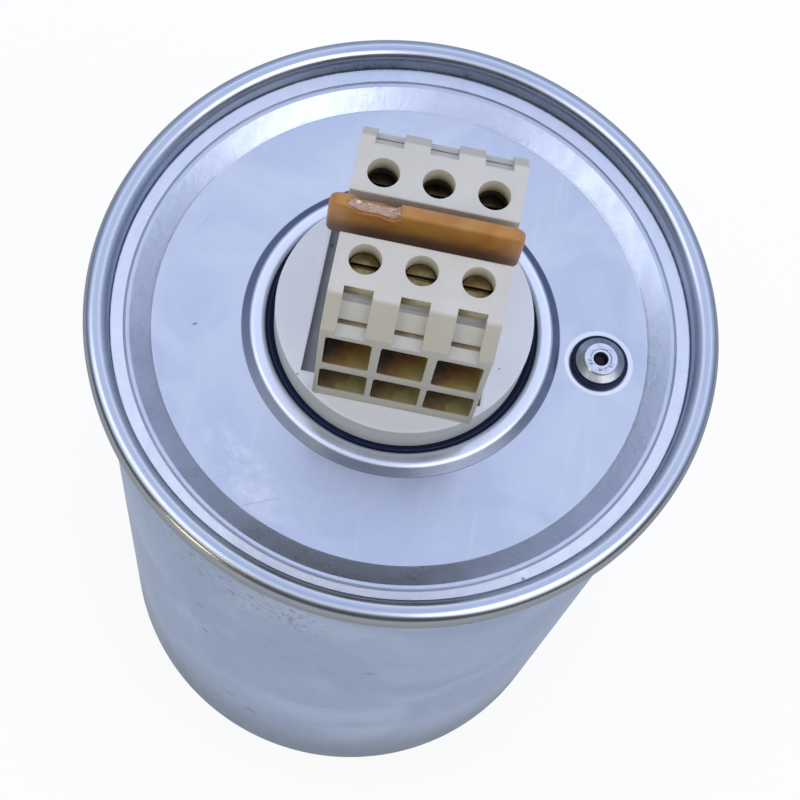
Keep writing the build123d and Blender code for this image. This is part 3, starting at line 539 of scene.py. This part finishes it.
def canFinish(s):
    f = Finish("canWall")
    x, y, z = f.parts()
    streaks = f.noise(260, 4, 0.6, source=f.mapped(scale=(1, 1, 0.10)))
    smudges = f.noise(26, 5, 0.62, 0.8)
    blots = f.noise(75, 4, 0.6, 1.5)
    tone = f.mix(f.spread(smudges, 0.38, 0.68), s["dull"], s["clean"])
    tone = f.coat(tone, s["blot"], f.spread(blots, 0.58, 0.70), 0.30)
    tone = f.coat(tone, s["dust"], f.band(z, *s["dustZ"]), f.edge(y, *s["dustY"]),
                  f.edge(x, *s["dustX"]), f.spread(f.noise(640, 5, 0.7), 0.52, 0.66), 0.75)
    marks = [(around(s["markR"], azimuth, up), size) for azimuth, up, size in s["marks"]]
    tone = f.spots(tone, marks, s["stain"], 0.6)
    # painted shade: the wall darkens towards the base
    tone = f.coat(tone, s["foot"], f.edge(z, *s["footShadeZ"]), 0.88)
    tone = f.coat(tone, s["rub"], f.spread(f.noise(1100, 3, 0.6), 0.62, 0.72), 0.25)
    gloss = f.maths('ADD', f.spread(smudges, 0.3, 0.75, s["rough"] - 0.05, s["rough"] + 0.07),
                    f.spread(streaks, 0.3, 0.7, -0.03, 0.03))
    waves = f.bump(f.noise(20, 2, 0.5), 0.20, 0.6)
    return f.finish(tone, gloss, f.bump(streaks, 0.10, 0.03, waves), Metallic=1.0,
                    Specular_Tint=s["tint"])


def plasticFinish(name, base, second, roughness=0.5, grain=700, depth=0.02,
                  marks=(), stain=(0.2, 0.2, 0.2), **plain):
    f = Finish(name)
    cloud = f.noise(60, 4, 0.55)
    tone = f.mix(f.spread(cloud, 0.35, 0.7), base, second)
    shade = [c * 0.6 for c in base]
    tone = f.coat(tone, shade, f.spread(f.noise(900, 3, 0.65), 0.66, 0.76), 0.25)
    tone = f.spots(tone, marks, stain)
    gloss = f.spread(cloud, 0.3, 0.7, roughness - 0.06, roughness + 0.06)
    return f.finish(tone, gloss, f.bump(f.noise(grain, 3, 0.6), 0.25, depth), **plain)


def metalFinish(name, base, second, roughness=0.35, grain=500, depth=0.02):
    return plasticFinish(name, base, second, roughness, grain, depth, Metallic=1.0)


housingLook = {
    "ivory": (0.545, 0.530, 0.480), "pale": (0.595, 0.575, 0.530), "face": (0.405, 0.385, 0.300),
    "bar": (0.49, 0.475, 0.42), "lip": (0.490, 0.485, 0.465), "rearRimShade": (0.20, 0.15, 0.09),
    "grime": (0.40, 0.37, 0.28), "notchWallShade": ((0.12, 0.085, 0.035), (0.34, 0.31, 0.18)),
    "brushed": ((0.20, 0.195, 0.18), (0.31, 0.30, 0.275)),
    "slotShadowTones": ((0.05, 0.035, 0.02), (0.22, 0.15, 0.07)),
    "upperChamberShade": [(0.0, (0.022, 0.013, 0.008)), (0.26, (0.135, 0.058, 0.008)),
              (0.52, (0.21, 0.135, 0.022)), (0.85, (0.255, 0.215, 0.075))],
    "lowerChamberShade": [(0.0, (0.05, 0.026, 0.008)), (0.36, (0.135, 0.082, 0.020)),
              (0.47, (0.180, 0.150, 0.050)), (0.85, (0.225, 0.195, 0.075))],
    "holeShadeTones": [(0.0, (0.60, 0.58, 0.48)), (0.35, (0.50, 0.46, 0.34)),
                  (0.70, (0.32, 0.28, 0.18)), (0.80, (0.05, 0.034, 0.018))],
    "front": (2, -2), "faceOut": (15.2, 15.8), "faceTop": (198.1, 197.4),
    "chamberWide": (14.78, 14.6), "chamberDeep": (20.26, 19.95), "inward": (20.1, 16.0),
    "upperTop": (189.65, 189.45), "upperFoot": (177.6, 177.8), "lowerTop": (175.55, 175.35),
    "lowerFoot": (166.1, 166.3), "holeR": (3.01, 2.94), "holeTop": (198.1, 197.6),
    "holeFade": (198.0, 193.0), "notchWide": (2.62, 2.50), "notchTop": (197.9, 197.8),
    "notchFoot": (190.6, 191.0), "backOut": (14.25, 14.05), "backIn": (13.80, 13.95),
    "ledge": (14.1, 15.6, 0.1), "ledgeTop": (195.7, 195.5), "barOut": (15.55, 15.75),
    "barFoot": (193.0, 193.2), "lipTop": (192.3, 192.1), "rearRimY": (13.9, 13.95),
    "rearRimOut": (14.55, 14.35), "slotZ": (192.25, 192.9, 0.06), "slotOut": (17.0, 17.3)}


def housingFinish(s):
    f = Finish("housingIvory")
    x, y, z = f.parts()
    reach = f.maths('ABSOLUTE', y)
    front = f.edge(y, *s["front"])
    cloud = f.noise(70, 4, 0.6, 0.5)
    fine = f.noise(900, 3, 0.6)
    pitch = block["polePitch"] * mm
    blockLeft = block["poleFirst"] * mm - pitch / 2
    across = f.maths('FRACT', f.maths('DIVIDE', f.maths('SUBTRACT', x, blockLeft), pitch))
    aside = f.maths('MULTIPLY', f.maths('SUBTRACT', across, 0.5), pitch)  # from a pole's middle
    fromMiddle = f.maths('ABSOLUTE', f.maths('SUBTRACT', x, blockLeft + pitch * 1.5))
    tone = f.mix(f.spread(cloud, 0.35, 0.7), s["ivory"], s["pale"])
    # painted shade: front and back faces darker and yellower than the top
    tone = f.coat(tone, s["face"], f.edge(reach, *s["faceOut"]), f.edge(z, *s["faceTop"]), 0.75)
    # painted shade: the chambers darken to amber-brown with depth
    chamber = f.times(f.edge(reach, *s["chamberDeep"]), f.edge(fromMiddle, *s["chamberWide"]))
    haze = f.maths('ADD', across, f.spread(f.noise(240, 3, 0.6, 1.0), 0.3, 0.7, -0.10, 0.10))
    deeper = f.maths('SUBTRACT', haze, f.maths('MULTIPLY', f.edge(reach, *s["inward"]), 0.30))
    tone = f.coat(tone, f.ramp(deeper, s["upperChamberShade"]), chamber, f.edge(z, *s["upperTop"]),
                  f.edge(z, *s["upperFoot"]))
    tone = f.coat(tone, f.ramp(deeper, s["lowerChamberShade"]), chamber, f.edge(z, *s["lowerTop"]),
                  f.edge(z, *s["lowerFoot"]))
    fromRow = f.maths('SUBTRACT', reach, block["screwReach"] * mm)
    square = f.maths('ADD', f.maths('POWER', fromRow, 2), f.maths('POWER', aside, 2))
    # painted shade: the screw holes darken with depth
    tone = f.coat(tone, f.ramp(f.edge(z, *s["holeFade"]), s["holeShadeTones"]),
                  f.edge(f.maths('SQRT', square), *s["holeR"]), f.edge(z, *s["holeTop"]))
    notch = f.times(f.edge(f.maths('ABSOLUTE', aside), *s["notchWide"]),
                    f.edge(z, *s["notchTop"]), f.edge(z, *s["notchFoot"]))
    notchWallShade = f.mix(f.spread(haze, 0.25, 0.65), *s["notchWallShade"])
    tone = f.coat(tone, notchWallShade, notch, f.edge(reach, *s["backOut"]), f.edge(reach, *s["backIn"]),
                  front)  # painted shade on the back wall of each front notch
    lines = f.noise(900, 3, 0.6, source=f.mapped(scale=(0.15, 1, 1)))
    brushed = f.mix(f.spread(lines, 0.35, 0.65), *s["brushed"])
    tone = f.coat(tone, brushed, notch, f.band(reach, *s["ledge"]), f.edge(z, *s["ledgeTop"]),
                  front, 0.9)
    tone = f.coat(tone, s["bar"], notch, f.edge(reach, *s["barOut"]),
                  f.edge(z, *s["barFoot"]), 0.7)
    tone = f.coat(tone, s["lip"], notch, f.edge(z, *s["lipTop"]),
                  f.spread(fine, 0.3, 0.7, 0.6, 0.9))
    tone = f.coat(tone, s["rearRimShade"], notch, f.edge(y, *s["rearRimY"]),
                  f.edge(reach, *s["rearRimOut"]), 0.85)  # painted shade: brown line of the rear notches
    # painted shadow on the slot floor under the bar
    slotShadow = f.mix(f.spread(haze, 0.3, 0.7), *s["slotShadowTones"])
    tone = f.coat(tone, slotShadow, notch, f.band(z, *s["slotZ"]), f.edge(reach, *s["slotOut"]))
    tone = f.coat(tone, s["grime"], f.spread(f.noise(520, 4, 0.7), 0.60, 0.72), 0.22)
    return f.finish(tone, f.spread(cloud, 0.3, 0.7, 0.40, 0.50), f.bump(fine, 0.2, 0.02))


moduleTones = {"deep": (0.36, 0.150, 0.022), "light": (0.45, 0.215, 0.045),
               "low": (0.105, 0.046, 0.030), "crest": (0.40, 0.23, 0.08),
               "shadedZ": (197.8, 193.6), "crestZ": (201.2, 201.9)}


def moduleFinish(s):
    f = Finish("moduleDip")
    _, _, z = f.parts()
    tone = f.mix(f.spread(f.noise(120, 4, 0.6, 0.8), 0.35, 0.7), s["deep"], s["light"])
    # painted shade: the lower part of the module darkens to purple-brown
    tone = f.coat(tone, s["low"], f.edge(z, *s["shadedZ"]), 0.85)
    worn = f.spread(f.noise(420, 4, 0.7), 0.45, 0.65)
    tone = f.coat(tone, s["crest"], f.edge(z, *s["crestZ"]), worn, 0.35)
    return f.finish(tone, 0.40, f.bump(f.noise(260, 3), 0.3, 0.06),
                    Coat_Weight=0.15, Coat_Roughness=0.3)


ceramicTones = {"brown": (0.34, 0.20, 0.14), "tan": (0.50, 0.34, 0.26), "white": (0.80, 0.74, 0.66)}


def ceramicFinish(s):
    f = Finish("brokenCeramic")
    grains = f.noise(900, 5, 0.7)
    tone = f.mix(f.spread(grains, 0.35, 0.65), s["brown"], s["tan"])
    tone = f.coat(tone, s["white"], f.spread(f.noise(420, 4, 0.7, 1.0), 0.55, 0.66))
    return f.finish(tone, 0.8, f.bump(grains, 0.8, 0.12))


rivetTones = {"dark": (0.36, 0.38, 0.41), "light": (0.45, 0.47, 0.49), "crimp": (0.16, 0.17, 0.20),
              "crown": ((0.62, 0.65, 0.76), (0.74, 0.77, 0.86)), "mouth": (0.22, 0.24, 0.30),
              "crownR": (3.45, 3.25), "crimpR": (2.05, 2.75, 0.15), "mouthR": (1.95, 2.08, 0.04)}


def rivetFinish(s):
    f = Finish("rivetAluminium")
    r = f.radius(block["valve"])
    cloud = f.noise(700, 3, 0.6)
    tone = f.mix(f.spread(cloud, 0.35, 0.7), s["dark"], s["light"])
    crown = f.mix(f.spread(cloud, 0.40, 0.65), *s["crown"])
    tone = f.coat(tone, crown, f.edge(r, *s["crownR"]))
    nicks = f.spread(f.noise(1300, 3, 0.6), 0.55, 0.62)
    tone = f.coat(tone, s["crimp"], f.band(r, *s["crimpR"]), nicks, 0.8)
    tone = f.coat(tone, s["mouth"], f.band(r, *s["mouthR"]), 0.6)
    return f.finish(tone, 0.30, f.bump(cloud, 0.3, 0.03), Metallic=1.0)


screwTones = {"front": ((0.17, 0.12, 0.05), (0.30, 0.245, 0.12)),
              "rear": ((0.035, 0.025, 0.015), (0.09, 0.065, 0.04)), "rearShadeY": (-1, 1)}


def screwFinish(s):
    f = Finish("clampScrewSteel")
    _, y, _ = f.parts()
    cloud = f.noise(320, 4, 0.6)
    worn = f.spread(cloud, 0.35, 0.65)
    # painted shade: the rear screws are much darker than the front ones
    tone = f.mix(f.edge(y, *s["rearShadeY"]), f.mix(worn, *s["front"]), f.mix(worn, *s["rear"]))
    return f.finish(tone, 0.34, f.bump(cloud, 0.3, 0.03), Metallic=1.0)


discLook = {"plain": (0.680, 0.700, 0.745), "pale": (0.735, 0.755, 0.790),
            "discShade": (0.40, 0.40, 0.36), "speck": (0.38, 0.38, 0.36), "mark": (0.16, 0.15, 0.14),
            "frontY": (-16.5, -20.5), "topZ": (163.7, 163.6), "wallR": (24.6, 24.7),
            "wallZ": (162.9, 162.6),
            "marks": [((-17.5, -17.25, 163.0), (0.8, 0.3, 0.5), 45),
                      ((19.5, -8.0, 163.0), (0.35, 0.35, 0.4)),
                      ((-3.0, 23.0, 163.0), (0.5, 0.3, 0.4), 10)]}


def discFinish(s):
    f = Finish("discWhite")
    _, y, z = f.parts()
    cloud = f.noise(60, 4, 0.55)
    tone = f.mix(f.spread(cloud, 0.35, 0.7), s["plain"], s["pale"])
    # painted shadow on the disc in front of the block
    tone = f.coat(tone, s["discShade"], f.edge(y, *s["frontY"]), f.edge(z, *s["topZ"]),
                  f.spread(cloud, 0.3, 0.6, 0.12, 0.30))
    tone = f.coat(tone, s["discShade"], f.edge(f.radius(), *s["wallR"]), f.edge(z, *s["wallZ"]),
                  0.7)  # painted shade on the disc's side
    tone = f.coat(tone, s["speck"], f.spread(f.noise(900, 3, 0.65), 0.66, 0.76), 0.25)
    tone = f.spots(tone, s["marks"], s["mark"])
    gloss = f.spread(cloud, 0.3, 0.7, 0.40, 0.52)
    return f.finish(tone, gloss, f.bump(f.noise(700, 3, 0.6), 0.25, 0.02))


finishes = {
    "can_aluminium": canFinish(canLook),
    "lid_aluminium": lidFinish(lidLook),
    "seam_compound": plasticFinish("seamCompound", (0.07, 0.07, 0.07), (0.10, 0.10, 0.10), 0.7),
    "base_plastic": discFinish(discLook),
    "gasket_rubber": plasticFinish("gasketRubber", (0.002, 0.006, 0.030), (0.003, 0.010, 0.045),
                                   0.34, 400, 0.015, Specular_IOR_Level=0.22),
    "plated_steel": metalFinish("platedSteel", (0.50, 0.50, 0.48), (0.60, 0.60, 0.57)),
    "potting": plasticFinish("pottingGrey", (0.17, 0.175, 0.20), (0.25, 0.255, 0.285), 0.5, 300,
                             0.08, [((-16.3, 11.0, 161.6), (0.5, 0.9, 0.5))], (0.04, 0.04, 0.05)),
    "housing_plastic": housingFinish(housingLook),
    "passivated_steel": metalFinish("yellowSteel", (0.30, 0.21, 0.075), (0.44, 0.37, 0.17), 0.32),
    "tinned_brass": metalFinish("tinnedBrass", (0.50, 0.46, 0.34), (0.60, 0.57, 0.46), 0.3),
    "module_ceramic": ceramicFinish(ceramicTones),
    "module_coating": moduleFinish(moduleTones),
    "rivet_aluminium": rivetFinish(rivetTones),
    "rivet_steel": metalFinish("pinSteel", (0.02, 0.02, 0.024), (0.035, 0.035, 0.04), 0.6),
    "winding_film": plasticFinish("windingFilm", (0.42, 0.43, 0.44), (0.50, 0.51, 0.52), 0.25, 200),
    "winding_insulation": plasticFinish("windingInsulation", (0.66, 0.66, 0.62),
                                        (0.72, 0.72, 0.68), 0.4),
    "sprayed_zinc": metalFinish("sprayedZinc", (0.36, 0.37, 0.38), (0.46, 0.47, 0.48), 0.6, 900,
                                0.08),
    "lead_insulation": plasticFinish("leadInsulation", (0.02, 0.02, 0.02), (0.03, 0.03, 0.03), 0.4),
}
for entry in frame["record"]["subparts"]:
    mesh = frame["nodes"][entry["node"]].data
    mesh.materials.clear()
    mesh.materials.append(finishes[entry["material_slot"]])
print("finishes made")


# can: drawn shell with its base corner, wall and stud

canSizes = {"radius": 58.0, "wall": 1.0, "base": 3.0, "corner": 4.5, "innerCorner": 2.5,
            "top": 161.6, "rings": (40, 80, 120), "studRadius": 6.0, "coreRadius": 5.1,
            "studLength": 16.0, "tipChamfer": 1.0, "relief": 1.2, "pitch": 1.75, "turns": 7,
            "turnSteps": 48, "toothFoot": -14.6, "toothSink": 0.1,
            "toothRise": (0.72, 0.95, 1.67), "steps": 224, "smooth": 32}


def makeThread(s):  # a tooth turned up along the stud, with its two ends closed
    foot, root = s["toothFoot"], s["coreRadius"] - s["toothSink"]
    crestFoot, crestTop, end = s["toothRise"]
    thread = drawRun("studThread", [(root, foot), (s["studRadius"], foot + crestFoot),
                                    (s["studRadius"], foot + crestTop), (root, foot + end)])
    bpy.ops.mesh.edge_face_add()
    bpy.ops.mesh.delete(type='ONLY_FACE')
    bpy.ops.object.mode_set(mode='OBJECT')
    screw = thread.modifiers.new("turns", 'SCREW')
    screw.angle = 2 * math.pi
    screw.screw_offset = s["pitch"] * mm
    screw.iterations = s["turns"]
    screw.steps = screw.render_steps = s["turnSteps"]
    screw.use_merge_vertices = False
    applyAll(thread)
    bpy.ops.object.mode_set(mode='EDIT')
    bpy.ops.mesh.select_all(action='DESELECT')
    bpy.ops.mesh.select_non_manifold()
    bpy.ops.mesh.edge_face_add()
    bpy.ops.mesh.select_all(action='SELECT')
    bpy.ops.mesh.normals_make_consistent(inside=False)
    bpy.ops.object.mode_set(mode='OBJECT')
    return thread


def makeCan(s):
    core, tip = s["coreRadius"], -s["studLength"]
    outer = [(0, tip), (core - s["tipChamfer"], tip), (core, tip + s["tipChamfer"]),
             (core, -s["relief"]), (core + s["relief"], 0)]
    outer += arcRun(s["radius"] - s["corner"], s["corner"], s["corner"], -90, 0, 12)
    outer += [(s["radius"], z) for z in (*s["rings"], s["top"])]
    inside = s["radius"] - s["wall"]
    bend = s["innerCorner"]
    inner = [(inside, s["top"]), (inside, s["base"] + bend)]
    inner += arcRun(inside - bend, s["base"] + bend, bend, 0, -90, 6)[1:]
    inner += [(0, s["base"])]
    can = spinPiece("canShell", outer + inner, s["steps"])
    thread = makeThread(s)
    makeActive(can)
    thread.select_set(True)
    bpy.ops.object.join()
    smoothPiece(can, s["smooth"])
    settle(can, "can", finishes["can_aluminium"])


makeCan(canSizes)
print("can made")


# lid: pressing with its swage, panel, cone, shelf, bead and hem

lidSizes = {"lip": 26.35, "swageFlat": 29.1, "swageFoot": 31.0, "panel": 48.2, "coneTop": 52.4,
            "chuck": 56.1, "rim": 60.8, "body": 58.0, "top": 164.0, "hemZ": 159.8,
            "shelfZ": 158.8, "coneZ": 158.05, "panelZ": 155.6, "swageZ": 157.1, "lipLength": 1.7,
            "sheet": 0.9, "grooveOut": 0.9, "grooveHalf": 0.24, "grooveDepth": 0.22,
            "bends": (1.05, 1.6, 0.15, 0.9, 0.35, 0.06, 0.12, 0.06, 0.45), "bendSteps": 5,
            "seamZ": 160.75, "seamHalf": 0.22, "seamDepth": 0.14, "hookEnd": 161.0,
            "hookGap": 0.02, "steps": 288, "seatRadius": 5.75, "seatFlare": 0.9,
            "seatDepth": 0.35, "seatEdge": 0.08, "seatSteps": 72, "rivetHole": 2.35,
            "holeSteps": 40, "above": 1, "below": 2, "smooth": 24}


def makeLid(s):
    bead = (s["rim"] - s["chuck"]) / 2
    foldZ = s["top"] - bead
    rise = (s["shelfZ"] - s["coneZ"]) / (s["chuck"] - s["coneTop"])
    groove = s["coneTop"] + s["grooveOut"]
    grooveZ = s["coneZ"] + rise * s["grooveOut"]
    half, panelZ = s["grooveHalf"], s["panelZ"]
    corners = [(s["lip"], s["swageZ"] - s["lipLength"]), (s["lip"], s["swageZ"]),
               (s["swageFlat"], s["swageZ"]), (s["swageFoot"], panelZ), (s["panel"], panelZ),
               (s["coneTop"], s["coneZ"]), (groove - half, grooveZ - rise * half),
               (groove, grooveZ - s["grooveDepth"]), (groove + half, grooveZ + rise * half),
               (s["chuck"], s["shelfZ"]), (s["chuck"], foldZ)]
    run = roundedRun(corners, s["bends"], s["bendSteps"])
    run = run[:-1] + arcRun(s["rim"] - bead, foldZ, bead, 180, 0, 26)
    run += [(s["rim"], s["seamZ"] + s["seamHalf"]), (s["rim"] - s["seamDepth"], s["seamZ"]),
            (s["rim"], s["seamZ"] - s["seamHalf"])]
    hem = (s["rim"] - s["body"]) / 2
    run += arcRun(s["rim"] - hem, s["hemZ"], hem, 0, -180, 10)
    run += [(s["body"] + s["hookGap"], s["hookEnd"])]
    lid = spinPiece("lidPressing", run, s["steps"])
    shell = lid.modifiers.new("sheet", 'SOLIDIFY')
    shell.thickness = s["sheet"] * mm
    shell.offset = -1
    shell.use_even_offset = True
    applyAll(lid)
    inside, outside = s["seatRadius"], s["seatRadius"] + s["seatFlare"]
    seat = [(0, panelZ - s["seatDepth"]), (inside, panelZ - s["seatDepth"]),
            (inside, panelZ - s["seatEdge"]), (outside, panelZ + s["seatEdge"]),
            (outside, panelZ + s["above"]), (0, panelZ + s["above"])]
    combine(lid, spinPiece("seatTool", seat, s["seatSteps"], block["valve"]), 'DIFFERENCE')
    hole = [(0, panelZ - s["below"]), (s["rivetHole"], panelZ - s["below"]),
            (s["rivetHole"], panelZ + s["above"]), (0, panelZ + s["above"])]
    combine(lid, spinPiece("holeTool", hole, s["holeSteps"], block["valve"]), 'DIFFERENCE')
    smoothPiece(lid, s["smooth"])
    settle(lid, "lid", finishes["lid_aluminium"])


makeLid(lidSizes)
print("lid made")


# gasket: collar with a ridge, between disc and lip

gasketSizes = {"inside": 24.8, "outside": 26.35, "skirt": 28.5, "flangeZ": 154.7,
               "underZ": 156.2, "underR": 27.45, "lipZ": 155.4, "lipR": 27.25, "topZ": 156.0,
               "topSlope": 0.02, "ridge": 25.75, "ridgeRadius": 0.42, "ridgeLift": 0.05,
               "chamferR": 0.2, "chamferZ": 0.1, "steps": 192, "smooth": 45}


def makeGasket(s):
    run = [(s["inside"], s["flangeZ"]), (s["skirt"], s["flangeZ"]), (s["skirt"], s["underZ"]),
           (s["underR"], s["underZ"]), (s["lipR"], s["lipZ"]), (s["outside"], s["lipZ"]),
           (s["outside"], s["topZ"] + s["topSlope"])]
    run += arcRun(s["ridge"], s["topZ"] + s["ridgeLift"], s["ridgeRadius"], 0, 180, 12)
    run += [(s["inside"] + s["chamferR"], s["topZ"]), (s["inside"], s["topZ"] - s["chamferZ"]),
            (s["inside"], s["flangeZ"])]
    gasket = spinPiece("gasketCollar", run, s["steps"])
    smoothPiece(gasket, s["smooth"])
    settle(gasket, "terminal_gasket", finishes["gasket_rubber"])


makeGasket(gasketSizes)
print("gasket made")


# terminal base: disc, flange, boss, raised frame and well

baseSizes = {"disc": 24.8, "discZ": 163.0, "edge": 0.45, "flange": 29.4, "flangeTop": 154.7,
             "flangeFoot": 151.5, "boss": 20.0, "bossFoot": 146.5, "padX": 17.8, "padY": 20.55,
             "padZ": 163.35, "padReach": 24.25, "wellX": 17.0, "wellY": 16.4, "wellZ": 158.0,
             "soften": 0.12, "steps": 192, "smooth": 40}


def makeBase(s):
    run = [(0, s["bossFoot"]), (s["boss"], s["bossFoot"]), (s["boss"], s["flangeFoot"]),
           (s["flange"], s["flangeFoot"]), (s["flange"], s["flangeTop"]),
           (s["disc"], s["flangeTop"]), (s["disc"], s["discZ"] - s["edge"])]
    run += arcRun(s["disc"] - s["edge"], s["discZ"] - s["edge"], s["edge"], 0, 90, 5)[1:]
    run += [(0, s["discZ"])]
    base = spinPiece("terminalDisc", run, s["steps"])
    pad = boxPiece("frameTool", (-s["padX"], -s["padY"], s["discZ"] - 1),
                   (s["padX"], s["padY"], s["padZ"]))
    reach = [(0, s["discZ"] - 2), (s["padReach"], s["discZ"] - 2),
             (s["padReach"], s["padZ"] + 1), (0, s["padZ"] + 1)]
    combine(pad, spinPiece("reachTool", reach, s["steps"]), 'INTERSECT')
    combine(base, pad, 'UNION')
    well = boxPiece("wellTool", (-s["wellX"], -s["wellY"], s["wellZ"]),
                    (s["wellX"], s["wellY"], s["padZ"] + 2))
    combine(base, well, 'DIFFERENCE')
    bevelEdges(base, s["soften"])
    smoothPiece(base, s["smooth"])
    settle(base, "terminal_base", finishes["base_plastic"])


makeBase(baseSizes)
print("terminal base made")


# housings, clamp cages and screws: copies of the CAD meshes with softened edges

softened = {"smooth": 40,
            "housings": [("front_terminal_housing", "frontHousing", 0.16),
                         ("rear_terminal_housing", "rearHousing", 0.16)],
            "cages": [(f"{row}_clamp_cage_{number}", f"{row}Cage{number}", 0.12)
                      for row in ("front", "rear") for number in (1, 2, 3)],
            "screws": [("clamp_screws", "clampScrews", 0.15)]}


def makeSoftened(s, group, material):
    for node, name, width in s[group]:
        piece = nodeCopy(node, name)
        bevelEdges(piece, width)
        smoothPiece(piece, s["smooth"])
        settle(piece, node, material)


makeSoftened(softened, "housings", finishes["housing_plastic"])
print("housings made")
makeSoftened(softened, "cages", finishes["passivated_steel"])
makeSoftened(softened, "screws", screwFinish(screwTones))
print("clamps made")


# discharge module: dipped coating with its broken edge, and the board under it

moduleSizes = {"voxel": 0.16, "relax": 4, "relaxBy": 0.5, "smooth": 60}


def makeModule(s):
    for node, name, slotName in (("discharge_coating", "moduleCoat", "module_coating"),
                                 ("discharge_board", "moduleBoard", "module_ceramic")):
        piece = nodeCopy(node, name)
        remesh = piece.modifiers.new("skin", 'REMESH')
        remesh.mode = 'VOXEL'
        remesh.voxel_size = s["voxel"] * mm
        relax = piece.modifiers.new("relax", 'SMOOTH')
        relax.iterations = s["relax"]
        relax.factor = s["relaxBy"]
        applyAll(piece)
        smoothPiece(piece, s["smooth"])
        settle(piece, node, finishes[slotName])


makeModule(moduleSizes)
print("module made")


# filling rivet: washer, head with its crimped mouth

rivetSizes = {"seal": 5.65, "sealZ": 155.25, "sealTop": 156.45, "sealEdge": 0.5, "shank": 2.2,
              "shankGap": 0.01, "flange": 4.78, "edge": 0.45, "top": 158.0, "boss": 3.3,
              "bossOut": 0.15, "bossIn": 0.1, "bossDrop": 0.35, "bore": 1.45, "mouthOut": 0.65,
              "mouthIn": 0.5, "mouthDrop": 0.2, "boreDrop": 0.15, "foot": 151.7, "tail": 1.5,
              "bulb": 3.2, "bulbFoot": 153.2, "bulbTop": 154.7,
              "bends": (0.12, 0.15, 0.2, 0.15, 0.06, 0.08, 0.12), "bendSteps": 4, "steps": 96,
              "sealSmooth": 40, "smooth": 35}


def makeRivet(s):
    shank, flange, top, bore = s["shank"], s["flange"], s["top"], s["bore"]
    curve = s["sealEdge"]
    seal = [(shank, s["sealZ"]), (s["seal"], s["sealZ"])]
    seal += arcRun(s["seal"] - curve, s["sealTop"] - curve, curve, 0, 90, 6)
    seal += [(shank, s["sealTop"]), (shank, s["sealZ"])]
    washer = spinPiece("rivetWasher", seal, s["steps"], block["valve"])
    smoothPiece(washer, s["sealSmooth"])
    settle(washer, "filling_rivet_seal", finishes["gasket_rubber"])
    head = [(0, s["foot"]), (0, s["foot"] - s["tail"]), (shank, s["foot"] - s["tail"]),
            (shank, s["foot"]), (s["bulb"], s["bulbFoot"]), (s["bulb"], s["bulbTop"]),
            (shank, s["bulbTop"]), (shank, s["sealTop"])]
    corners = [(shank + s["shankGap"], s["sealTop"]), (flange, s["sealTop"]),
               (flange, s["sealTop"] + s["edge"]), (s["boss"] + s["bossOut"], top - s["bossDrop"]),
               (s["boss"] - s["bossIn"], top), (bore + s["mouthOut"], top),
               (bore + s["mouthIn"], top - s["mouthDrop"]), (bore, top - s["boreDrop"]),
               (bore, s["foot"])]
    head += roundedRun(corners, s["bends"], s["bendSteps"])
    head += [(0, s["foot"])]
    rivet = spinPiece("rivetHead", head, s["steps"], block["valve"])
    smoothPiece(rivet, s["smooth"])
    settle(rivet, "filling_rivet_body", finishes["rivet_aluminium"])


makeRivet(rivetSizes)
print("rivet made")
